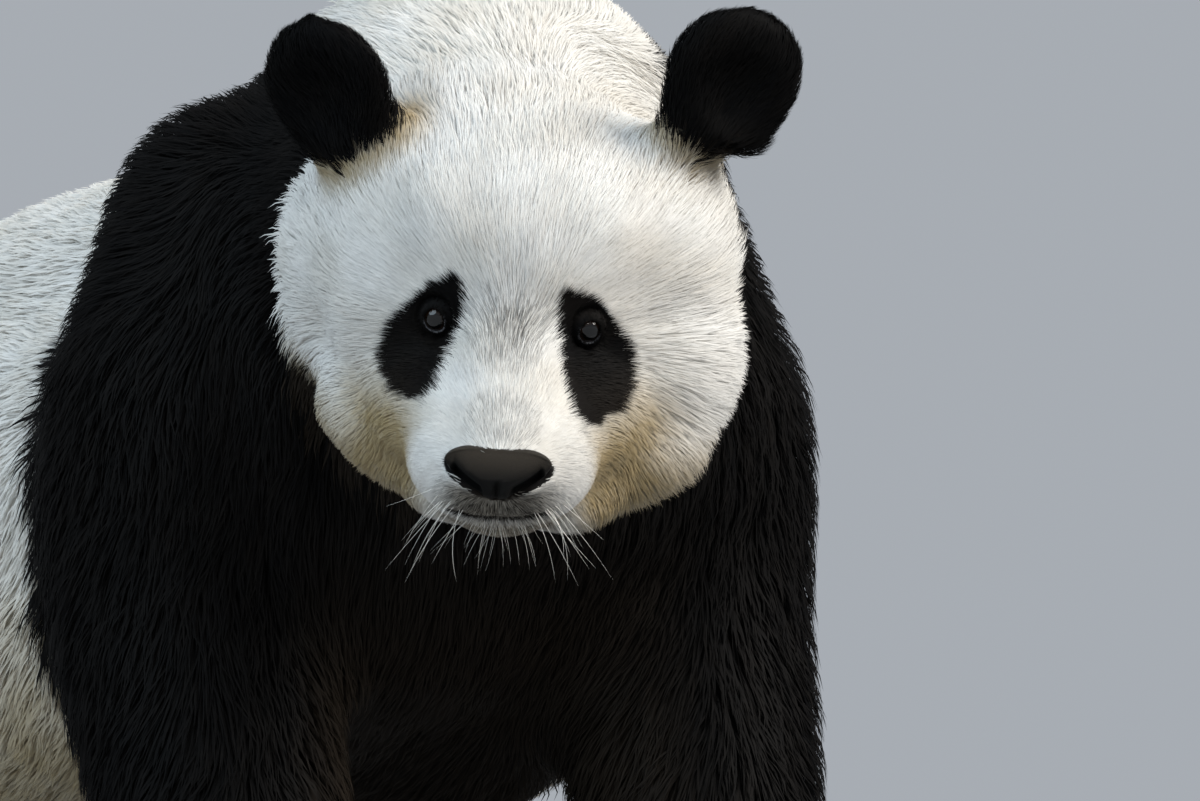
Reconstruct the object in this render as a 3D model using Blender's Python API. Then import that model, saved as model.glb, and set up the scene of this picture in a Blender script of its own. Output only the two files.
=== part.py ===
"""A life-size giant panda, standing on all fours with its head lowered and turned to its right.

The solids are the outer outline of the coat. The animal is shaped as clay is: overlapping masses are
merged and smoothed, then thin cuts part the skin into head, neck, trunk, tail, legs and paws.
Metres, +Z up. The panda faces -Y, its left side is +X, and it stands on z = 0.
"""

from math import radians

import bmesh
import bpy
from mathutils import Matrix, Vector

# Driving dimensions of an adult: the outer coat, in metres.
WITHERS_HEIGHT = 0.830
BACK_HEIGHT = 0.726
BELLY_HEIGHT = 0.192
EYE_SPACING = 0.092
EYE_RADIUS = 0.0118
GAP = 0.0004

# The forelegs' line lies this far behind the middle of the footprint's length.
FORELEG_Y = -0.285
SPINE_X = 0.025

# The head's own frame starts midway between the eyes: +X its left, -Y its nose, +Z its crown.
HEAD_AT = Vector((-0.066, -0.585, 0.527))
HEAD_TURN = radians(-27.5)
HEAD_NOD = radians(31.5)
HEAD_TILT = radians(5.0)
HEAD = (
    Matrix.Translation(HEAD_AT)
    @ Matrix.Rotation(HEAD_TURN, 4, "Z")
    @ Matrix.Rotation(HEAD_NOD, 4, "X")
    @ Matrix.Rotation(HEAD_TILT, 4, "Y")
)

# Fineness of the clay and the triangles that each group keeps.
BODY_VOXEL, BODY_SMOOTHING, BODY_TRIANGLES = 0.010, 14, 2700
HEAD_VOXEL, HEAD_SMOOTHING, HEAD_TRIANGLES = 0.0045, 18, 1700
EAR_VOXEL, EAR_SMOOTHING, EAR_TRIANGLES = 0.004, 6, 150
REGION_VOXEL, REGION_SMOOTHING, REGION_TRIANGLES = 0.018, 3, 150
SMOOTHING_FACTOR = 0.6
CHAIN_STEPS = 3
SHARP_EDGE = radians(50)


# ---------------------------------------------------------------- materials
def material(name, colour, roughness):
    made = bpy.data.materials.new(name)
    made.use_nodes = True
    shader = made.node_tree.nodes["Principled BSDF"]
    shader.inputs["Base Color"].default_value = (*colour, 1.0)
    shader.inputs["Roughness"].default_value = roughness
    return made


def materials():
    return {
        "white": material("white_fur", (0.78, 0.77, 0.72), 0.8),
        "black": material("black_fur", (0.012, 0.012, 0.013), 0.75),
        "eye": material("eye", (0.02, 0.012, 0.008), 0.08),
        "nose": material("nose_skin", (0.02, 0.019, 0.018), 0.45),
        "claw": material("claw", (0.06, 0.05, 0.04), 0.4),
    }


# ---------------------------------------------------------------- clay tools
def mesh_object(name, mesh):
    made = bpy.data.objects.new(name, mesh)
    bpy.context.scene.collection.objects.link(made)
    return made


def object_from(name, shape):
    mesh = bpy.data.meshes.new(name)
    shape.to_mesh(mesh)
    shape.free()
    return mesh_object(name, mesh)


def add_ball(shape, place, radii, turn=Matrix(), fineness=3):
    """One ellipsoid of clay. turn is its own rotation about its centre."""
    grown = Matrix.Translation(place) @ turn @ Matrix.Diagonal((*radii, 1.0))
    return bmesh.ops.create_icosphere(shape, subdivisions=fineness, radius=1.0, matrix=grown)["verts"]


def between(a, b, c, d, share):
    """The Catmull-Rom value a share of the way from b to c."""
    bend = (2 * a - 5 * b + 4 * c - d) * share**2
    return 0.5 * (2 * b + (c - a) * share + bend + (3 * b - a - 3 * c + d) * share**3)


def smooth_steps(stations, steps):
    """The stations with further ones between them, so that a chain has no corners."""
    ends = [stations[0], *stations, stations[-1]]
    found = []
    for neighbours in zip(ends, ends[1:], ends[2:], ends[3:]):
        for step in range(steps):
            found.append([between(*values, step / steps) for values in zip(*neighbours)])
    return [*found, list(stations[-1])]


def add_chain(shape, stations, turn=Matrix()):
    """A limb or trunk through stations of (x, y, z, radius x, radius y, radius z).

    Each pair of neighbouring stations is wrapped as one hull.
    """
    full = smooth_steps(stations, CHAIN_STEPS)
    for first, second in zip(full, full[1:]):
        wrapped = bmesh.new()
        for station in (first, second):
            add_ball(wrapped, Vector(station[:3]), station[3:], turn)
        bmesh.ops.delete(wrapped, geom=wrapped.edges[:] + wrapped.faces[:], context="EDGES_FACES")
        bmesh.ops.convex_hull(wrapped, input=wrapped.verts[:])
        loose = [v for v in wrapped.verts if not v.link_faces]
        bmesh.ops.delete(wrapped, geom=loose, context="VERTS")
        hull = bpy.data.meshes.new("hull")
        wrapped.to_mesh(hull)
        wrapped.free()
        shape.from_mesh(hull)
        bpy.data.meshes.remove(hull)


def evaluated(made):
    """The object's mesh with its modifiers applied, in a new object of the same name."""
    graph = bpy.context.evaluated_depsgraph_get()
    mesh = bpy.data.meshes.new_from_object(made.evaluated_get(graph))
    name = made.name
    bpy.data.objects.remove(made)
    return mesh_object(name, mesh)


def merged(shape, name, voxel, smoothing, triangles):
    """The overlapping masses as one closed surface: fused on a grid, smoothed, then thinned out."""
    made = object_from(name, shape)
    fuse = made.modifiers.new("fuse", "REMESH")
    fuse.mode = "VOXEL"
    fuse.voxel_size = voxel
    soften = made.modifiers.new("soften", "SMOOTH")
    soften.factor = SMOOTHING_FACTOR
    soften.iterations = smoothing
    made = evaluated(made)
    thin = made.modifiers.new("thin", "DECIMATE")
    thin.ratio = triangles / (2.0 * len(made.data.polygons))
    thin.use_collapse_triangulate = True
    return evaluated(made)


def cut(made, cutter, operation="DIFFERENCE"):
    step = made.modifiers.new("cut", "BOOLEAN")
    step.operation = operation
    step.object = cutter
    step.solver = "EXACT"
    return evaluated(made)


def block(name, place, size, turn=Matrix()):
    """A cutter: a box, its centre at place."""
    placed = Matrix.Translation(place) @ turn @ Matrix.Diagonal((*size, 1.0))
    shape = bmesh.new()
    bmesh.ops.create_cube(shape, size=1.0, matrix=placed)
    made = object_from(name, shape)
    made.hide_render = True
    made.display_type = "WIRE"
    return made


def half_space(name, at, facing, size):
    """A cutter that fills the side of a plane that it faces, as a cube that stands on the plane."""
    normal = Vector(facing).normalized()
    turn = normal.to_track_quat("Z", "Y").to_matrix().to_4x4()
    return block(name, Vector(at) + normal * size / 2, (size, size, size), turn)


def part_off(made, name, region):
    """Splits made along the skin of region: returns what is left outside it, and a new object inside it."""
    inside = mesh_object(name, made.data.copy())
    inside = cut(inside, region, "INTERSECT")
    grown = region.copy()
    grown.data = region.data.copy()
    shape = bmesh.new()
    shape.from_mesh(grown.data)
    shape.normal_update()
    for vertex in shape.verts:
        vertex.co += vertex.normal * GAP * 2.0
    shape.to_mesh(grown.data)
    shape.free()
    bpy.context.scene.collection.objects.link(grown)
    outside = cut(made, grown)
    bpy.data.objects.remove(grown)
    bpy.data.objects.remove(region)
    return outside, inside


def finish_piece(made, finish):
    made.data.materials.clear()
    made.data.materials.append(finish)
    made.data.shade_smooth()
    made.data.set_sharp_from_angle(angle=SHARP_EDGE)


# ---------------------------------------------------------------- trunk, neck and tail
# Each station: x off the spine, y behind the forelegs, height of its middle, then half width,
# half length and half height.
BACK_STATIONS = (
    (0.032, -0.10, 0.600, 0.145, 0.07, 0.170),
    (0.042, 0.03, 0.600, 0.174, 0.09, WITHERS_HEIGHT - 0.600),
    (0.040, 0.14, 0.585, 0.182, 0.09, 0.213),
    (0.028, 0.25, 0.555, 0.196, 0.09, 0.198),
    (0.014, 0.42, 0.535, 0.220, 0.09, BACK_HEIGHT - 0.535),
    (0.008, 0.60, 0.530, 0.235, 0.09, 0.188),
    (0.003, 0.76, 0.520, 0.225, 0.09, 0.182),
    (0.000, 0.88, 0.505, 0.185, 0.08, 0.160),
    (0.000, 0.965, 0.485, 0.115, 0.06, 0.115),
)
BARREL_STATIONS = (
    (0.010, -0.08, 0.500, 0.175, 0.07, 0.130),
    (0.006, 0.04, 0.475, 0.262, 0.09, 0.185),
    (0.003, 0.18, 0.450, 0.262, 0.09, 0.195),
    (0.000, 0.36, 0.440, 0.270, 0.09, 0.210),
    (0.000, 0.54, 0.430, 0.278, 0.09, 0.430 - BELLY_HEIGHT),
    (0.000, 0.72, 0.450, 0.268, 0.09, 0.200),
    (0.000, 0.86, 0.470, 0.220, 0.07, 0.160),
)
# The belly's sides hang as low as its middle, so that it is broad underneath.
BELLY_SIDE_STATIONS = (
    (0.115, 0.12, 0.370, 0.125, 0.09, 0.125),
    (0.120, 0.30, 0.345, 0.140, 0.09, 0.145),
    (0.120, 0.52, 0.340, 0.140, 0.09, 0.144),
    (0.115, 0.70, 0.365, 0.125, 0.09, 0.125),
)
# The neck, in world coordinates: it leans from the withers to the lowered, turned head.
NECK_STATIONS = (
    (0.045, -0.235, 0.600, 0.185, 0.13, 0.222),
    (0.022, -0.330, 0.600, 0.178, 0.12, 0.195),
    (-0.008, -0.420, 0.590, 0.160, 0.11, 0.160),
    (-0.036, -0.500, 0.575, 0.135, 0.10, 0.128),
)
TAIL_STATIONS = (
    (0.0, 0.955, 0.580, 0.055, 0.05, 0.045),
    (0.0, 1.004, 0.540, 0.043, 0.032, 0.040),
    (0.0, 1.040, 0.495, 0.039, 0.026, 0.038),
    (0.0, 1.053, 0.452, 0.028, 0.019, 0.026),
)


def on_spine(stations, sign=1.0):
    return [(SPINE_X + sign * x, FORELEG_Y + y, *others) for x, y, *others in stations]


def add_trunk(shape):
    add_chain(shape, on_spine(BACK_STATIONS))
    add_chain(shape, on_spine(BARREL_STATIONS))
    for sign in (1.0, -1.0):
        add_chain(shape, on_spine(BELLY_SIDE_STATIONS, sign))
    add_chain(shape, NECK_STATIONS)
    add_chain(shape, on_spine(TAIL_STATIONS))


# ---------------------------------------------------------------- legs
# Each station: how far out, y behind the forelegs' line, height of its middle, then half width,
# half length and half height.
FORELEG_STATIONS = (
    (0.150, 0.045, 0.600, 0.092, 0.120, 0.120),
    (0.178, 0.050, 0.490, 0.104, 0.128, 0.100),
    (0.184, 0.065, 0.375, 0.100, 0.116, 0.080),
    (0.180, 0.040, 0.260, 0.096, 0.100, 0.060),
    (0.175, 0.012, 0.150, 0.085, 0.090, 0.050),
    (0.173, -0.005, 0.075, 0.077, 0.085, 0.050),
)
HINDLEG_STATIONS = (
    (0.125, 0.780, 0.530, 0.120, 0.165, 0.130),
    (0.178, 0.760, 0.420, 0.115, 0.160, 0.110),
    (0.196, 0.740, 0.310, 0.102, 0.130, 0.080),
    (0.192, 0.780, 0.200, 0.086, 0.098, 0.060),
    (0.188, 0.810, 0.115, 0.074, 0.084, 0.050),
    (0.186, 0.810, 0.070, 0.070, 0.084, 0.045),
)
# How far each leg is set forward (-) or back (+), and where its paw points, in degrees outward.
STEP = {"foreleg_left": -0.035, "foreleg_right": 0.010, "hindleg_left": 0.035, "hindleg_right": -0.025}
# How far each foot is set to the left (+) or right (-) of a plumb leg.
SWAY = {"foreleg_left": 0.012, "foreleg_right": 0.030, "hindleg_left": 0.0, "hindleg_right": 0.0}
PAW_SPLAY = {"foreleg": -14.0, "hindleg": 4.0}
PAW_LENGTH = {"foreleg": 0.205, "hindleg": 0.215}
PAW_WIDTH = 0.142
TOE_COUNT = 5
TOE_RADIUS = 0.0235
TOE_ARC = 0.026


def side_sign(side):
    return 1.0 if side == "left" else -1.0


def leg_stations(kind, side):
    table = FORELEG_STATIONS if kind == "foreleg" else HINDLEG_STATIONS
    step = STEP[f"{kind}_{side}"]
    sway = SWAY[f"{kind}_{side}"]
    top = table[0][2]
    foot = table[-1][2]
    found = []
    for out, y, z, wide, long, high in table:
        share = (top - z) / (top - foot)
        x = SPINE_X + side_sign(side) * out + sway * share
        found.append((x, FORELEG_Y + y + step * share, z, wide, long, high))
    return found


def paw_frame(kind, side):
    """The paw's own frame: its origin under the ankle on the floor, -Y towards the toes."""
    ankle = leg_stations(kind, side)[-1]
    splay = radians(PAW_SPLAY[kind]) * side_sign(side)
    return Matrix.Translation((ankle[0], ankle[1], 0.0)) @ Matrix.Rotation(splay, 4, "Z")


def toe_places(kind):
    """The middle of each toe in the paw's frame, on a shallow arc across its front."""
    reach = PAW_LENGTH[kind] * 0.50
    spread = PAW_WIDTH / 2 - TOE_RADIUS * 0.85
    for toe in range(TOE_COUNT):
        across = (toe - (TOE_COUNT - 1) / 2) / ((TOE_COUNT - 1) / 2)
        yield Vector((across * spread, -reach + TOE_ARC * across**2, TOE_RADIUS)), across


def add_paw(shape, kind, side):
    frame = paw_frame(kind, side)
    turn = frame.to_3x3().to_4x4()
    length = PAW_LENGTH[kind]
    sole = (
        (0.0, length * 0.30, 0.042, 0.052, 0.040, 0.046),
        (0.0, length * 0.05, 0.052, 0.066, 0.060, 0.058),
        (0.0, -length * 0.30, 0.036, PAW_WIDTH / 2, 0.050, 0.040),
    )
    add_chain(shape, [(*(frame @ Vector(s[:3])), *s[3:]) for s in sole], turn=turn)
    for place, _ in toe_places(kind):
        add_ball(shape, frame @ place, (TOE_RADIUS, TOE_RADIUS * 1.45, TOE_RADIUS * 1.05), turn)


LEGS = [(kind, side) for kind in ("foreleg", "hindleg") for side in ("left", "right")]


def make_body():
    shape = bmesh.new()
    add_trunk(shape)
    for kind, side in LEGS:
        add_chain(shape, leg_stations(kind, side))
        add_paw(shape, kind, side)
    return merged(shape, "trunk", BODY_VOXEL, BODY_SMOOTHING, BODY_TRIANGLES)


# ---------------------------------------------------------------- head
# Masses of the head in its own frame: out, back, up, then half width, half length, half height,
# and for the paired ones how far both hang to the left.
DOME = (0.0, 0.096, 0.012, 0.120, 0.114, 0.100)
SNOUT_STATIONS = (
    (0.0, 0.035, -0.042, 0.084, 0.040, 0.066),
    (0.0, -0.026, -0.052, 0.069, 0.040, 0.054),
    (0.0, -0.066, -0.060, 0.063, 0.048, 0.046),
)
CHIN = (0.0, -0.050, -0.090, 0.042, 0.046, 0.028)
# The loose skin of the cheeks and jaw hangs a little to the left, the lower side of the tilted head.
CHEEK_SWAY, JAW_SWAY = 0.013, 0.005
PAIRED_MASSES = {
    "temple": (0.062, 0.106, 0.012, 0.080, 0.092, 0.088, 0.006),
    "forehead": (0.042, 0.062, 0.040, 0.060, 0.062, 0.056, 0.0),
    "cheek": (0.070, 0.080, -0.052, 0.072, 0.084, 0.080, CHEEK_SWAY),
    "jaw": (0.060, 0.050, -0.090, 0.072, 0.076, 0.052, JAW_SWAY),
    "throat": (0.030, 0.004, -0.104, 0.050, 0.062, 0.034, JAW_SWAY),
    "cheekbone": (0.062, 0.040, -0.020, 0.052, 0.040, 0.044, 0.0),
    "muzzle_side": (0.050, 0.004, -0.060, 0.046, 0.056, 0.046, 0.0),
}
BRIDGE_STATIONS = (
    (0.0, 0.030, 0.014, 0.044, 0.036, 0.032),
    (0.0, -0.035, -0.017, 0.038, 0.030, 0.027),
    (0.0, -0.085, -0.038, 0.036, 0.024, 0.023),
)


def in_head(stations):
    return [(*(HEAD @ Vector(s[:3])), *s[3:]) for s in stations]


def make_head():
    shape = bmesh.new()
    turn = HEAD.to_3x3().to_4x4()
    add_ball(shape, HEAD @ Vector(DOME[:3]), DOME[3:], turn)
    add_ball(shape, HEAD @ Vector(CHIN[:3]), CHIN[3:], turn)
    add_chain(shape, in_head(SNOUT_STATIONS), turn=turn)
    add_chain(shape, in_head(BRIDGE_STATIONS), turn=turn)
    for out, back, up, wide, long, high, sway in PAIRED_MASSES.values():
        for sign in (1.0, -1.0):
            add_ball(shape, HEAD @ Vector((sign * out + sway, back, up)), (wide, long, high), turn)
    add_chain(shape, NECK_STATIONS)
    return merged(shape, "head", HEAD_VOXEL, HEAD_SMOOTHING, HEAD_TRIANGLES)


# ---------------------------------------------------------------- ears
EAR_RADIUS = 0.050
EAR_THICK = 0.017
EAR_DISH_AT = Vector((0.0, -EAR_THICK * 1.35, -0.004))
EAR_DISH_RADII = (EAR_RADIUS * 0.66, EAR_THICK, EAR_RADIUS * 0.66)
# Where each ear's disc is centred in the head's frame, and its outward lean and swivel in degrees.
EARS = {
    "left": {"at": (0.128, 0.106, 0.137), "lean": 18.0, "swivel": 12.0},
    "right": {"at": (-0.130, 0.100, 0.112), "lean": 30.0, "swivel": 22.0},
}
EAR_NOD = radians(-12.0)


def ear_frame(side):
    """The ear's own frame: its opening faces -Y, +Z runs from its root to its rim."""
    ear = EARS[side]
    sign = side_sign(side)
    return (
        HEAD
        @ Matrix.Translation(ear["at"])
        @ Matrix.Rotation(radians(ear["lean"]) * sign, 4, "Y")
        @ Matrix.Rotation(radians(ear["swivel"]) * sign, 4, "Z")
        @ Matrix.Rotation(EAR_NOD, 4, "X")
    )


def make_ear(side):
    frame = ear_frame(side)
    turn = frame.to_3x3().to_4x4()
    shape = bmesh.new()
    disc = (EAR_RADIUS, EAR_THICK, EAR_RADIUS)
    root = (EAR_RADIUS * 0.72, EAR_THICK * 1.5, EAR_RADIUS * 0.6)
    places = ((0.0, 0.0, 0.0), (0.0, 0.004, -EAR_RADIUS * 0.95))
    stations = [(*(frame @ Vector(p)), *r) for p, r in zip(places, (disc, root))]
    add_chain(shape, stations, turn=turn)
    made = merged(shape, f"ear_{side}", EAR_VOXEL, EAR_SMOOTHING, EAR_TRIANGLES)
    # The opening is a shallow dish in the front of the disc.
    dish = bmesh.new()
    add_ball(dish, frame @ EAR_DISH_AT, EAR_DISH_RADII, turn, fineness=2)
    hollow = object_from("ear_dish", dish)
    made = cut(made, hollow)
    bpy.data.objects.remove(hollow)
    return made


# ---------------------------------------------------------------- eyes, nose and claws
EYE_PLACE = Vector((EYE_SPACING / 2, 0.0035, 0.0028))
EYE_OPENING = (0.0125, 0.0115, 0.0100)
NOSE_PLACE = Vector((-0.001, -0.1085, -0.0475))
NOSE_RADII = (0.0360, 0.0165, 0.0195)
CLAW_LENGTH = {"foreleg": 0.036, "hindleg": 0.030}
CLAW_RADIUS = 0.0062
CLAW_RINGS, CLAW_SIDES = 4, 5
# How a claw tapers, drops and turns down from its root to its tip.
CLAW_TAPER, CLAW_DROP, CLAW_FAN, CLAW_BEND = 0.80, 0.52, 0.10, radians(42.0)


def sphere(name, place, radii, turn=Matrix(), grown=0.0):
    shape = bmesh.new()
    placed = Matrix.Translation(place) @ turn @ Matrix.Diagonal((*(r + grown for r in radii), 1.0))
    bmesh.ops.create_uvsphere(shape, u_segments=8, v_segments=6, radius=1.0, matrix=placed)
    return object_from(name, shape)


def claw_shape(kind, frame, place, across, grown=0.0):
    """A curved cone: rings along an arc that starts inside the toe and bends down towards the floor."""
    length = CLAW_LENGTH[kind]
    shape = bmesh.new()
    rings = []
    root = place + Vector((0.0, -TOE_RADIUS * 0.9, 0.004))
    for ring in range(CLAW_RINGS):
        share = ring / (CLAW_RINGS - 1)
        sideways = CLAW_FAN * length * share * across
        forward = length * share + (grown if ring else -grown)
        middle = root + Vector((sideways, -forward, -length * CLAW_DROP * share**2))
        radius = CLAW_RADIUS * (1.0 - CLAW_TAPER * share) + grown
        placed = Matrix.Translation(middle) @ Matrix.Rotation(radians(90.0) + CLAW_BEND * share, 4, "X")
        made = bmesh.ops.create_circle(shape, segments=CLAW_SIDES, radius=radius, matrix=placed)
        rings.append(made["verts"])
    for first, second in zip(rings, rings[1:]):
        for side in range(CLAW_SIDES):
            after = (side + 1) % CLAW_SIDES
            shape.faces.new((first[side], first[after], second[after], second[side]))
    shape.faces.new(rings[0][::-1])
    shape.faces.new(rings[-1])
    bmesh.ops.transform(shape, matrix=frame, verts=shape.verts)
    bmesh.ops.recalc_face_normals(shape, faces=shape.faces)
    return shape


# ---------------------------------------------------------------- cuts that part the body
NECK_CUT = {"at": (-0.030, -0.455, 0.60), "facing": (-0.28, -0.83, -0.30), "size": 0.46}
TRUNK_CUT = {"at": (0.012, -0.355, 0.66), "facing": (-0.12, -0.85, 0.50), "size": 0.62}
TAIL_CUT = {"at": (SPINE_X, FORELEG_Y + 0.985, 0.53), "facing": (0.0, 0.93, -0.30), "size": 0.36}
LEG_CUT_MARGIN = 1.24
WRIST_HEIGHT = {"foreleg": 0.098, "hindleg": 0.092}
EAR_CUT_DEPTH = 0.050


def leg_region(kind, side):
    """A sleeve round the leg, from a rounded top on the shoulder or the haunch to below the floor."""
    stations = []
    for x, y, z, wide, long, high in leg_stations(kind, side)[1:]:
        stations.append((x, y, z, wide * LEG_CUT_MARGIN, long * LEG_CUT_MARGIN, high))
    toes = paw_frame(kind, side) @ Vector((0.0, -0.03, 0.03))
    stations.append((*toes, PAW_WIDTH * 0.78, PAW_LENGTH[kind] * 0.95, 0.10))
    shape = bmesh.new()
    add_chain(shape, stations)
    region = merged(shape, "leg_region", REGION_VOXEL, REGION_SMOOTHING, REGION_TRIANGLES)
    region.hide_render = True
    region.display_type = "WIRE"
    return region


def centre_on_origin(pieces):
    """Moves every piece level, so that the middle of the whole footprint lies over the origin."""
    corners = [vertex.co for made in pieces for vertex in made.data.vertices]
    middle = [(min(c[axis] for c in corners) + max(c[axis] for c in corners)) / 2 for axis in (0, 1)]
    for made in pieces:
        made.data.transform(Matrix.Translation((-middle[0], -middle[1], 0.0)))


def build():
    for old in list(bpy.data.objects):
        bpy.data.objects.remove(old)
    finish = materials()

    body = make_body()
    floor = block("floor", (0.0, 0.0, -0.5), (4.0, 4.0, 1.0))
    body = cut(body, floor)
    bpy.data.objects.remove(floor)

    head = make_head()
    head_side = half_space("head_side", **NECK_CUT)
    head = cut(head, head_side, "INTERSECT")
    bpy.data.objects.remove(head_side)
    behind = Vector(NECK_CUT["at"]) - Vector(NECK_CUT["facing"]).normalized() * 2 * GAP
    beyond = half_space("beyond", behind, NECK_CUT["facing"], NECK_CUT["size"])
    body = cut(body, beyond)
    bpy.data.objects.remove(beyond)

    body, neck = part_off(body, "neck", half_space("neck_region", **TRUNK_CUT))
    body, tail = part_off(body, "tail", half_space("tail_region", **TAIL_CUT))
    pieces = {"neck": (neck, "white"), "tail": (tail, "white")}
    for kind, side in LEGS:
        body, leg = part_off(body, f"{kind}_{side}", leg_region(kind, side))
        level = (0.0, 0.0, WRIST_HEIGHT[kind])
        below = half_space("paw_region", level, (0.0, 0.0, -1.0), 3.0)
        leg, paw = part_off(leg, f"{kind.replace('leg', 'paw')}_{side}", below)
        frame = paw_frame(kind, side)
        for number, (place, across) in enumerate(toe_places(kind), start=1):
            socket = object_from("claw_socket", claw_shape(kind, frame, place, across, GAP))
            paw = cut(paw, socket)
            bpy.data.objects.remove(socket)
            name = f"claw_{kind[:-3]}_{side}_{number}"
            pieces[name] = (object_from(name, claw_shape(kind, frame, place, across)), "claw")
        pieces[leg.name] = (leg, "black")
        pieces[paw.name] = (paw, "black")

    turn = HEAD.to_3x3().to_4x4()
    for side in ("left", "right"):
        ear = make_ear(side)
        root = ear_frame(side) @ Vector((0.0, 0.0, -EAR_CUT_DEPTH))
        outward = ear_frame(side).to_3x3() @ Vector((0.0, 0.0, 1.0))
        above = half_space("above", root, outward, 0.4)
        ear = cut(ear, above, "INTERSECT")
        bpy.data.objects.remove(above)
        pieces[ear.name] = (ear, "black")
        place = HEAD @ Vector((side_sign(side) * EYE_PLACE.x, EYE_PLACE.y, EYE_PLACE.z))
        opening = HEAD @ Vector((side_sign(side) * EYE_PLACE.x, EYE_PLACE.y - EYE_RADIUS, EYE_PLACE.z))
        for hollow in (
            sphere("eye_socket", place, [EYE_RADIUS] * 3, grown=GAP),
            sphere("eye_opening", opening, EYE_OPENING, turn),
        ):
            head = cut(head, hollow)
            bpy.data.objects.remove(hollow)
        pieces[f"eye_{side}"] = (sphere(f"eye_{side}", place, [EYE_RADIUS] * 3), "eye")
    nose_bed = sphere("nose_bed", HEAD @ NOSE_PLACE, NOSE_RADII, turn, GAP)
    head = cut(head, nose_bed)
    bpy.data.objects.remove(nose_bed)
    pieces["nose"] = (sphere("nose", HEAD @ NOSE_PLACE, NOSE_RADII, turn), "nose")
    # The head stops short of each ear's root, so that neither overlaps the other.
    for side in ("left", "right"):
        ear = pieces[f"ear_{side}"][0]
        grown = mesh_object("ear_bed", ear.data.copy())
        swell = grown.modifiers.new("swell", "DISPLACE")
        swell.strength = GAP
        swell.mid_level = 0.0
        grown = evaluated(grown)
        head = cut(head, grown)
        bpy.data.objects.remove(grown)
    pieces["head"] = (head, "white")
    pieces["trunk"] = (body, "white")
    for name, (made, colour) in pieces.items():
        made.name = name
        finish_piece(made, finish[colour])
    centre_on_origin([made for made, _ in pieces.values()])


build()
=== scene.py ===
"""The looks of a life-size giant panda: skin, eyes, nose, claws, whiskers and coat, round its solids."""

from math import cos, pi, radians, sin

import bmesh
import bpy
import numpy as np
from mathutils import Matrix, Vector
from mathutils.bvhtree import BVHTree


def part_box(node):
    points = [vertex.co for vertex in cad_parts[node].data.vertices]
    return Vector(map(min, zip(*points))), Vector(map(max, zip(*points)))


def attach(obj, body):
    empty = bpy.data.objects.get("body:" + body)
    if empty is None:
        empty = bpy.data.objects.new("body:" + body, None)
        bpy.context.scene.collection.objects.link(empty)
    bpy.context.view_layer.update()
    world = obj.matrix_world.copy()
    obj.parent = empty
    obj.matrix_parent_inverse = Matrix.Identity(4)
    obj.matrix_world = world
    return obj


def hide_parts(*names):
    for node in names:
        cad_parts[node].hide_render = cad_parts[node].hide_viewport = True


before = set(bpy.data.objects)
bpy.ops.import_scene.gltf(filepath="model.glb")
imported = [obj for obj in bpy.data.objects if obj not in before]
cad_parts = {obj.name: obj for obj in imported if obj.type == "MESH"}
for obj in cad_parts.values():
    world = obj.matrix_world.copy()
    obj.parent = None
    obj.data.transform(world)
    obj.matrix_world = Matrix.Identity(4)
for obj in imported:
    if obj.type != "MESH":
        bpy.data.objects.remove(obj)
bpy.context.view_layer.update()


def put(name, data):
    """Adds an object to the scene, with that mesh, lamp or camera."""
    made = bpy.data.objects.new(name, data)
    bpy.context.scene.collection.objects.link(made)
    return made


# -------- the camera
# It stands low in front of the animal, a little to its right, and looks slightly up at the lowered head
# through a long lens. The face fills the middle of the picture and the lower legs are cut off.
CAMERA_AZIMUTH = radians(-25.0)
CAMERA_DISTANCE = 3.55
CAMERA_HEIGHT = 0.235
VIEW_WIDTH = 0.758
AIM_RIGHT, AIM_DOWN = 0.055, 0.051
SENSOR_WIDTH = 36.0
FARTHEST = 100.0


def centre(node):
    low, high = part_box(node)
    return (low + high) / 2


left_eye, right_eye = centre("eye_left"), centre("eye_right")
mid_eye = (left_eye + right_eye) / 2
to_camera = Vector((sin(CAMERA_AZIMUTH), -cos(CAMERA_AZIMUTH), 0.0))
to_right = Vector((cos(CAMERA_AZIMUTH), sin(CAMERA_AZIMUTH), 0.0))
aim = mid_eye + to_right * AIM_RIGHT - Vector((0.0, 0.0, AIM_DOWN))
camera_at = aim + to_camera * CAMERA_DISTANCE
camera_at.z = CAMERA_HEIGHT
camera = put("camera", bpy.data.cameras.new("camera"))
camera.data.sensor_width = SENSOR_WIDTH
camera.data.lens = SENSOR_WIDTH * (aim - camera_at).length / VIEW_WIDTH
camera.data.clip_end = FARTHEST
camera.location = camera_at
camera.rotation_euler = (aim - camera_at).to_track_quat("-Z", "Y").to_euler()
bpy.context.scene.camera = camera

# -------- the skin's shape
# One hide covers the whole body, with no seam. It lies under the outline by the depth of the coat, which is
# thin on the muzzle, ears and paws. The lids close round the eyes and the lips meet in a soft line.
SKIN_VOXEL = 0.0068
SWELL = 0.0015
SMOOTHINGS, SMOOTH_IN, SMOOTH_OUT = 30, 0.50, -0.52
SAME_PLACE = 1e-5
EYE_BEHIND, EYE_ABOVE = 0.0035, 0.0028
NOSE_BELOW = radians(25.0)
EYE_RADIUS = 0.0118
LID_THICKNESS = 0.0010
LID_OPENING = (0.0069, 0.0080)
LID_SLANT = radians(14.0)
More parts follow.
